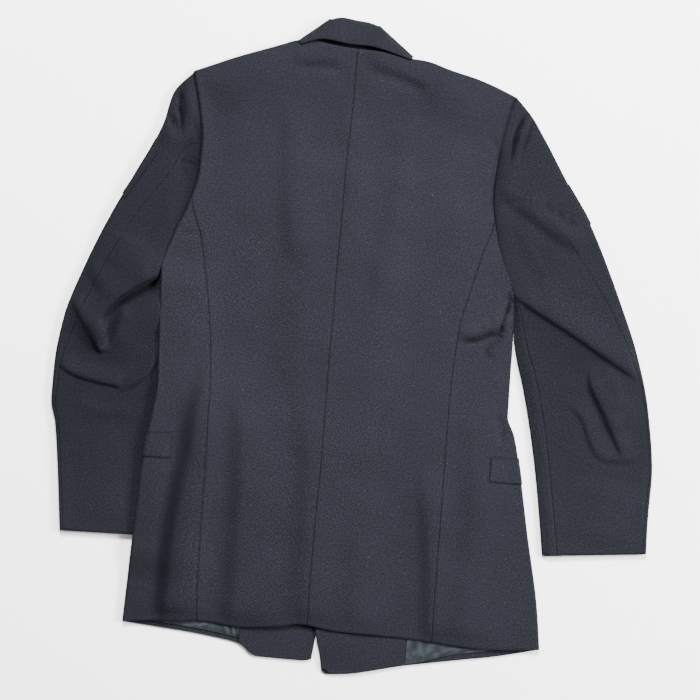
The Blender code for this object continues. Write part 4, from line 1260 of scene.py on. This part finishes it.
def collar_fall():
    v = (grain_steps(COLLAR_DEPTH, step=1.8) / COLLAR_DEPTH)[:, None]
    ends = {}
    for side, sign in (("left", 1), ("right", -1)):
        roll_x, roll_y, free_x, free_y = COLLAR_FOLDS[side]
        length = math.hypot(free_x - roll_x, free_y - roll_y)
        line_x, line_y = (free_x - roll_x) / length, (free_y - roll_y) / length
        high = collar_top(np.array([[free_x + 6.0 * sign]]), np.array([[400.0]]))
        fold = turned(blend(roll_x, free_x, v), blend(roll_y, free_y, v), line_y * sign, -line_x * sign,
                      high + 0 * v, LOWER + 0 * v)
        pinch = 0.2 + 0.8 * ease(v / 0.45)
        edge_x, edge_y = fold[0][:, FOLD_STEPS // 2, None], fold[1][:, FOLD_STEPS // 2, None]
        fold = blend(edge_x, fold[0], pinch), blend(edge_y, fold[1], pinch), fold[2]
        facing = 2 * (-sign * line_x)
        down_x, down_y = line_x * facing + sign, line_y * facing
        tail = []
        for share in np.linspace(0, 1, 30)[1:]:
            reach = blend(COLLAR_END, COLLAR_END_FREE, v) * share
            tail.append((fold[0][:, -1:] + down_x * reach, fold[1][:, -1:] + down_y * reach, LOWER + 0 * v))
        ends[side] = fold, side_by_side(*tail)
    left, left_tail = ends["left"]
    right, right_tail = ends["right"]
    key = [(blend(a, c, v), blend(b, d, v)) for a, b, c, d in COLLAR_BACK]
    key = [(left[0][:, :1], left[1][:, :1]), *key, (right[0][:, :1], right[1][:, :1])]
    spots = np.linspace(0, 1, 60)[1:-1]
    across = []
    for t in spots:
        n = min(int(t * 4), 3)
        across.append(tuple(collar_place(key, n, t * 4 - n, axis) for axis in (0, 1)))
    x, y = side_by_side(*across)
    share = spots[None, :]
    z = collar_top(x, y) + COLLAR_CROWN * np.sin(np.pi * share) * ease(v)
    z = z - COLLAR_ROLL * fading(v * COLLAR_DEPTH, COLLAR_ROLL) - 0.6 * fading((1 - v) * COLLAR_DEPTH, 1.2)
    tail_back, left_back = ([each[:, ::-1] for each in part] for part in (left_tail, left))
    x, y, z = side_by_side(tail_back, left_back, (x, y, z), right, right_tail)
    run = np.hypot(np.diff(x, axis=1), np.diff(y, axis=1))
    cut_u = np.concatenate((np.zeros((len(x), 1)), np.cumsum(run, 1)), 1)
    press = fading((1 - v) * COLLAR_DEPTH, 5) + 0 * x
    cut_v = -COLLAR_DEPTH * v + 0 * x
    # Painted shade over the whole fall.
    return cut_and_lay("collar_fall_panel", x, y, z, cut_u, cut_v, press, COLLAR_SHADE)


def collar_place(key, n, t, axis):
    """A place between two of the collar's lines, on a smooth curve through all of them."""
    before, after = key[max(n - 1, 0)], key[min(n + 2, len(key) - 1)]
    return through(before[axis], key[n][axis], key[n + 1][axis], after[axis], t)


def collar_stand():
    seam_x = np.linspace(-84, 12, 40)[None, :]
    roll_x = np.linspace(-62, -10, 40)[None, :]
    share = np.linspace(0, 1, 22)[:, None]
    seam_y = shoulder(seam_x) + 2 * SEAM_GAP
    roll_y = column(tuple((row[0], row[1]) for row in COLLAR_BACK), 1, roll_x) - 2
    x, y = blend(seam_x, roll_x, share), blend(seam_y, roll_y, share)
    z = blend(LOWER + 1.6, upper(x, 400.0 + 0 * x) - 1.4, ease((share - 0.3) / 0.7))
    # Painted shade over the whole stand.
    return cut_and_lay("collar_stand_panel", x, y, z, shade=STAND_SHADE)


lay_down(collar_fall(), "collar_fall")
lay_down(collar_stand(), "collar_stand")


# The buttons. Four plain dark buttons are sewn down the closure. They lie under the left front,
# and keep their own shape, with a worn, low shine.
def button_finish():
    material, shader, thread = bare_cloth("button_horn", 0.5, 0.0, 0.5)
    place = thread.node("ShaderNodeTexCoord", {}, {}, out="Object")
    cloud = thread.noise(place, 180, 3.0, 0.6)
    colour = cloud.mix((0.012, 0.013, 0.017, 1), (0.035, 0.037, 0.045, 1))
    finish_cloth(shader, thread, colour, 0.32 + cloud * 0.2, cloud, 0.05)
    return material


horn = button_finish()
for name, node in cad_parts.items():
    if name.startswith("button"):
        node.data.materials.clear()
        node.data.materials.append(horn)
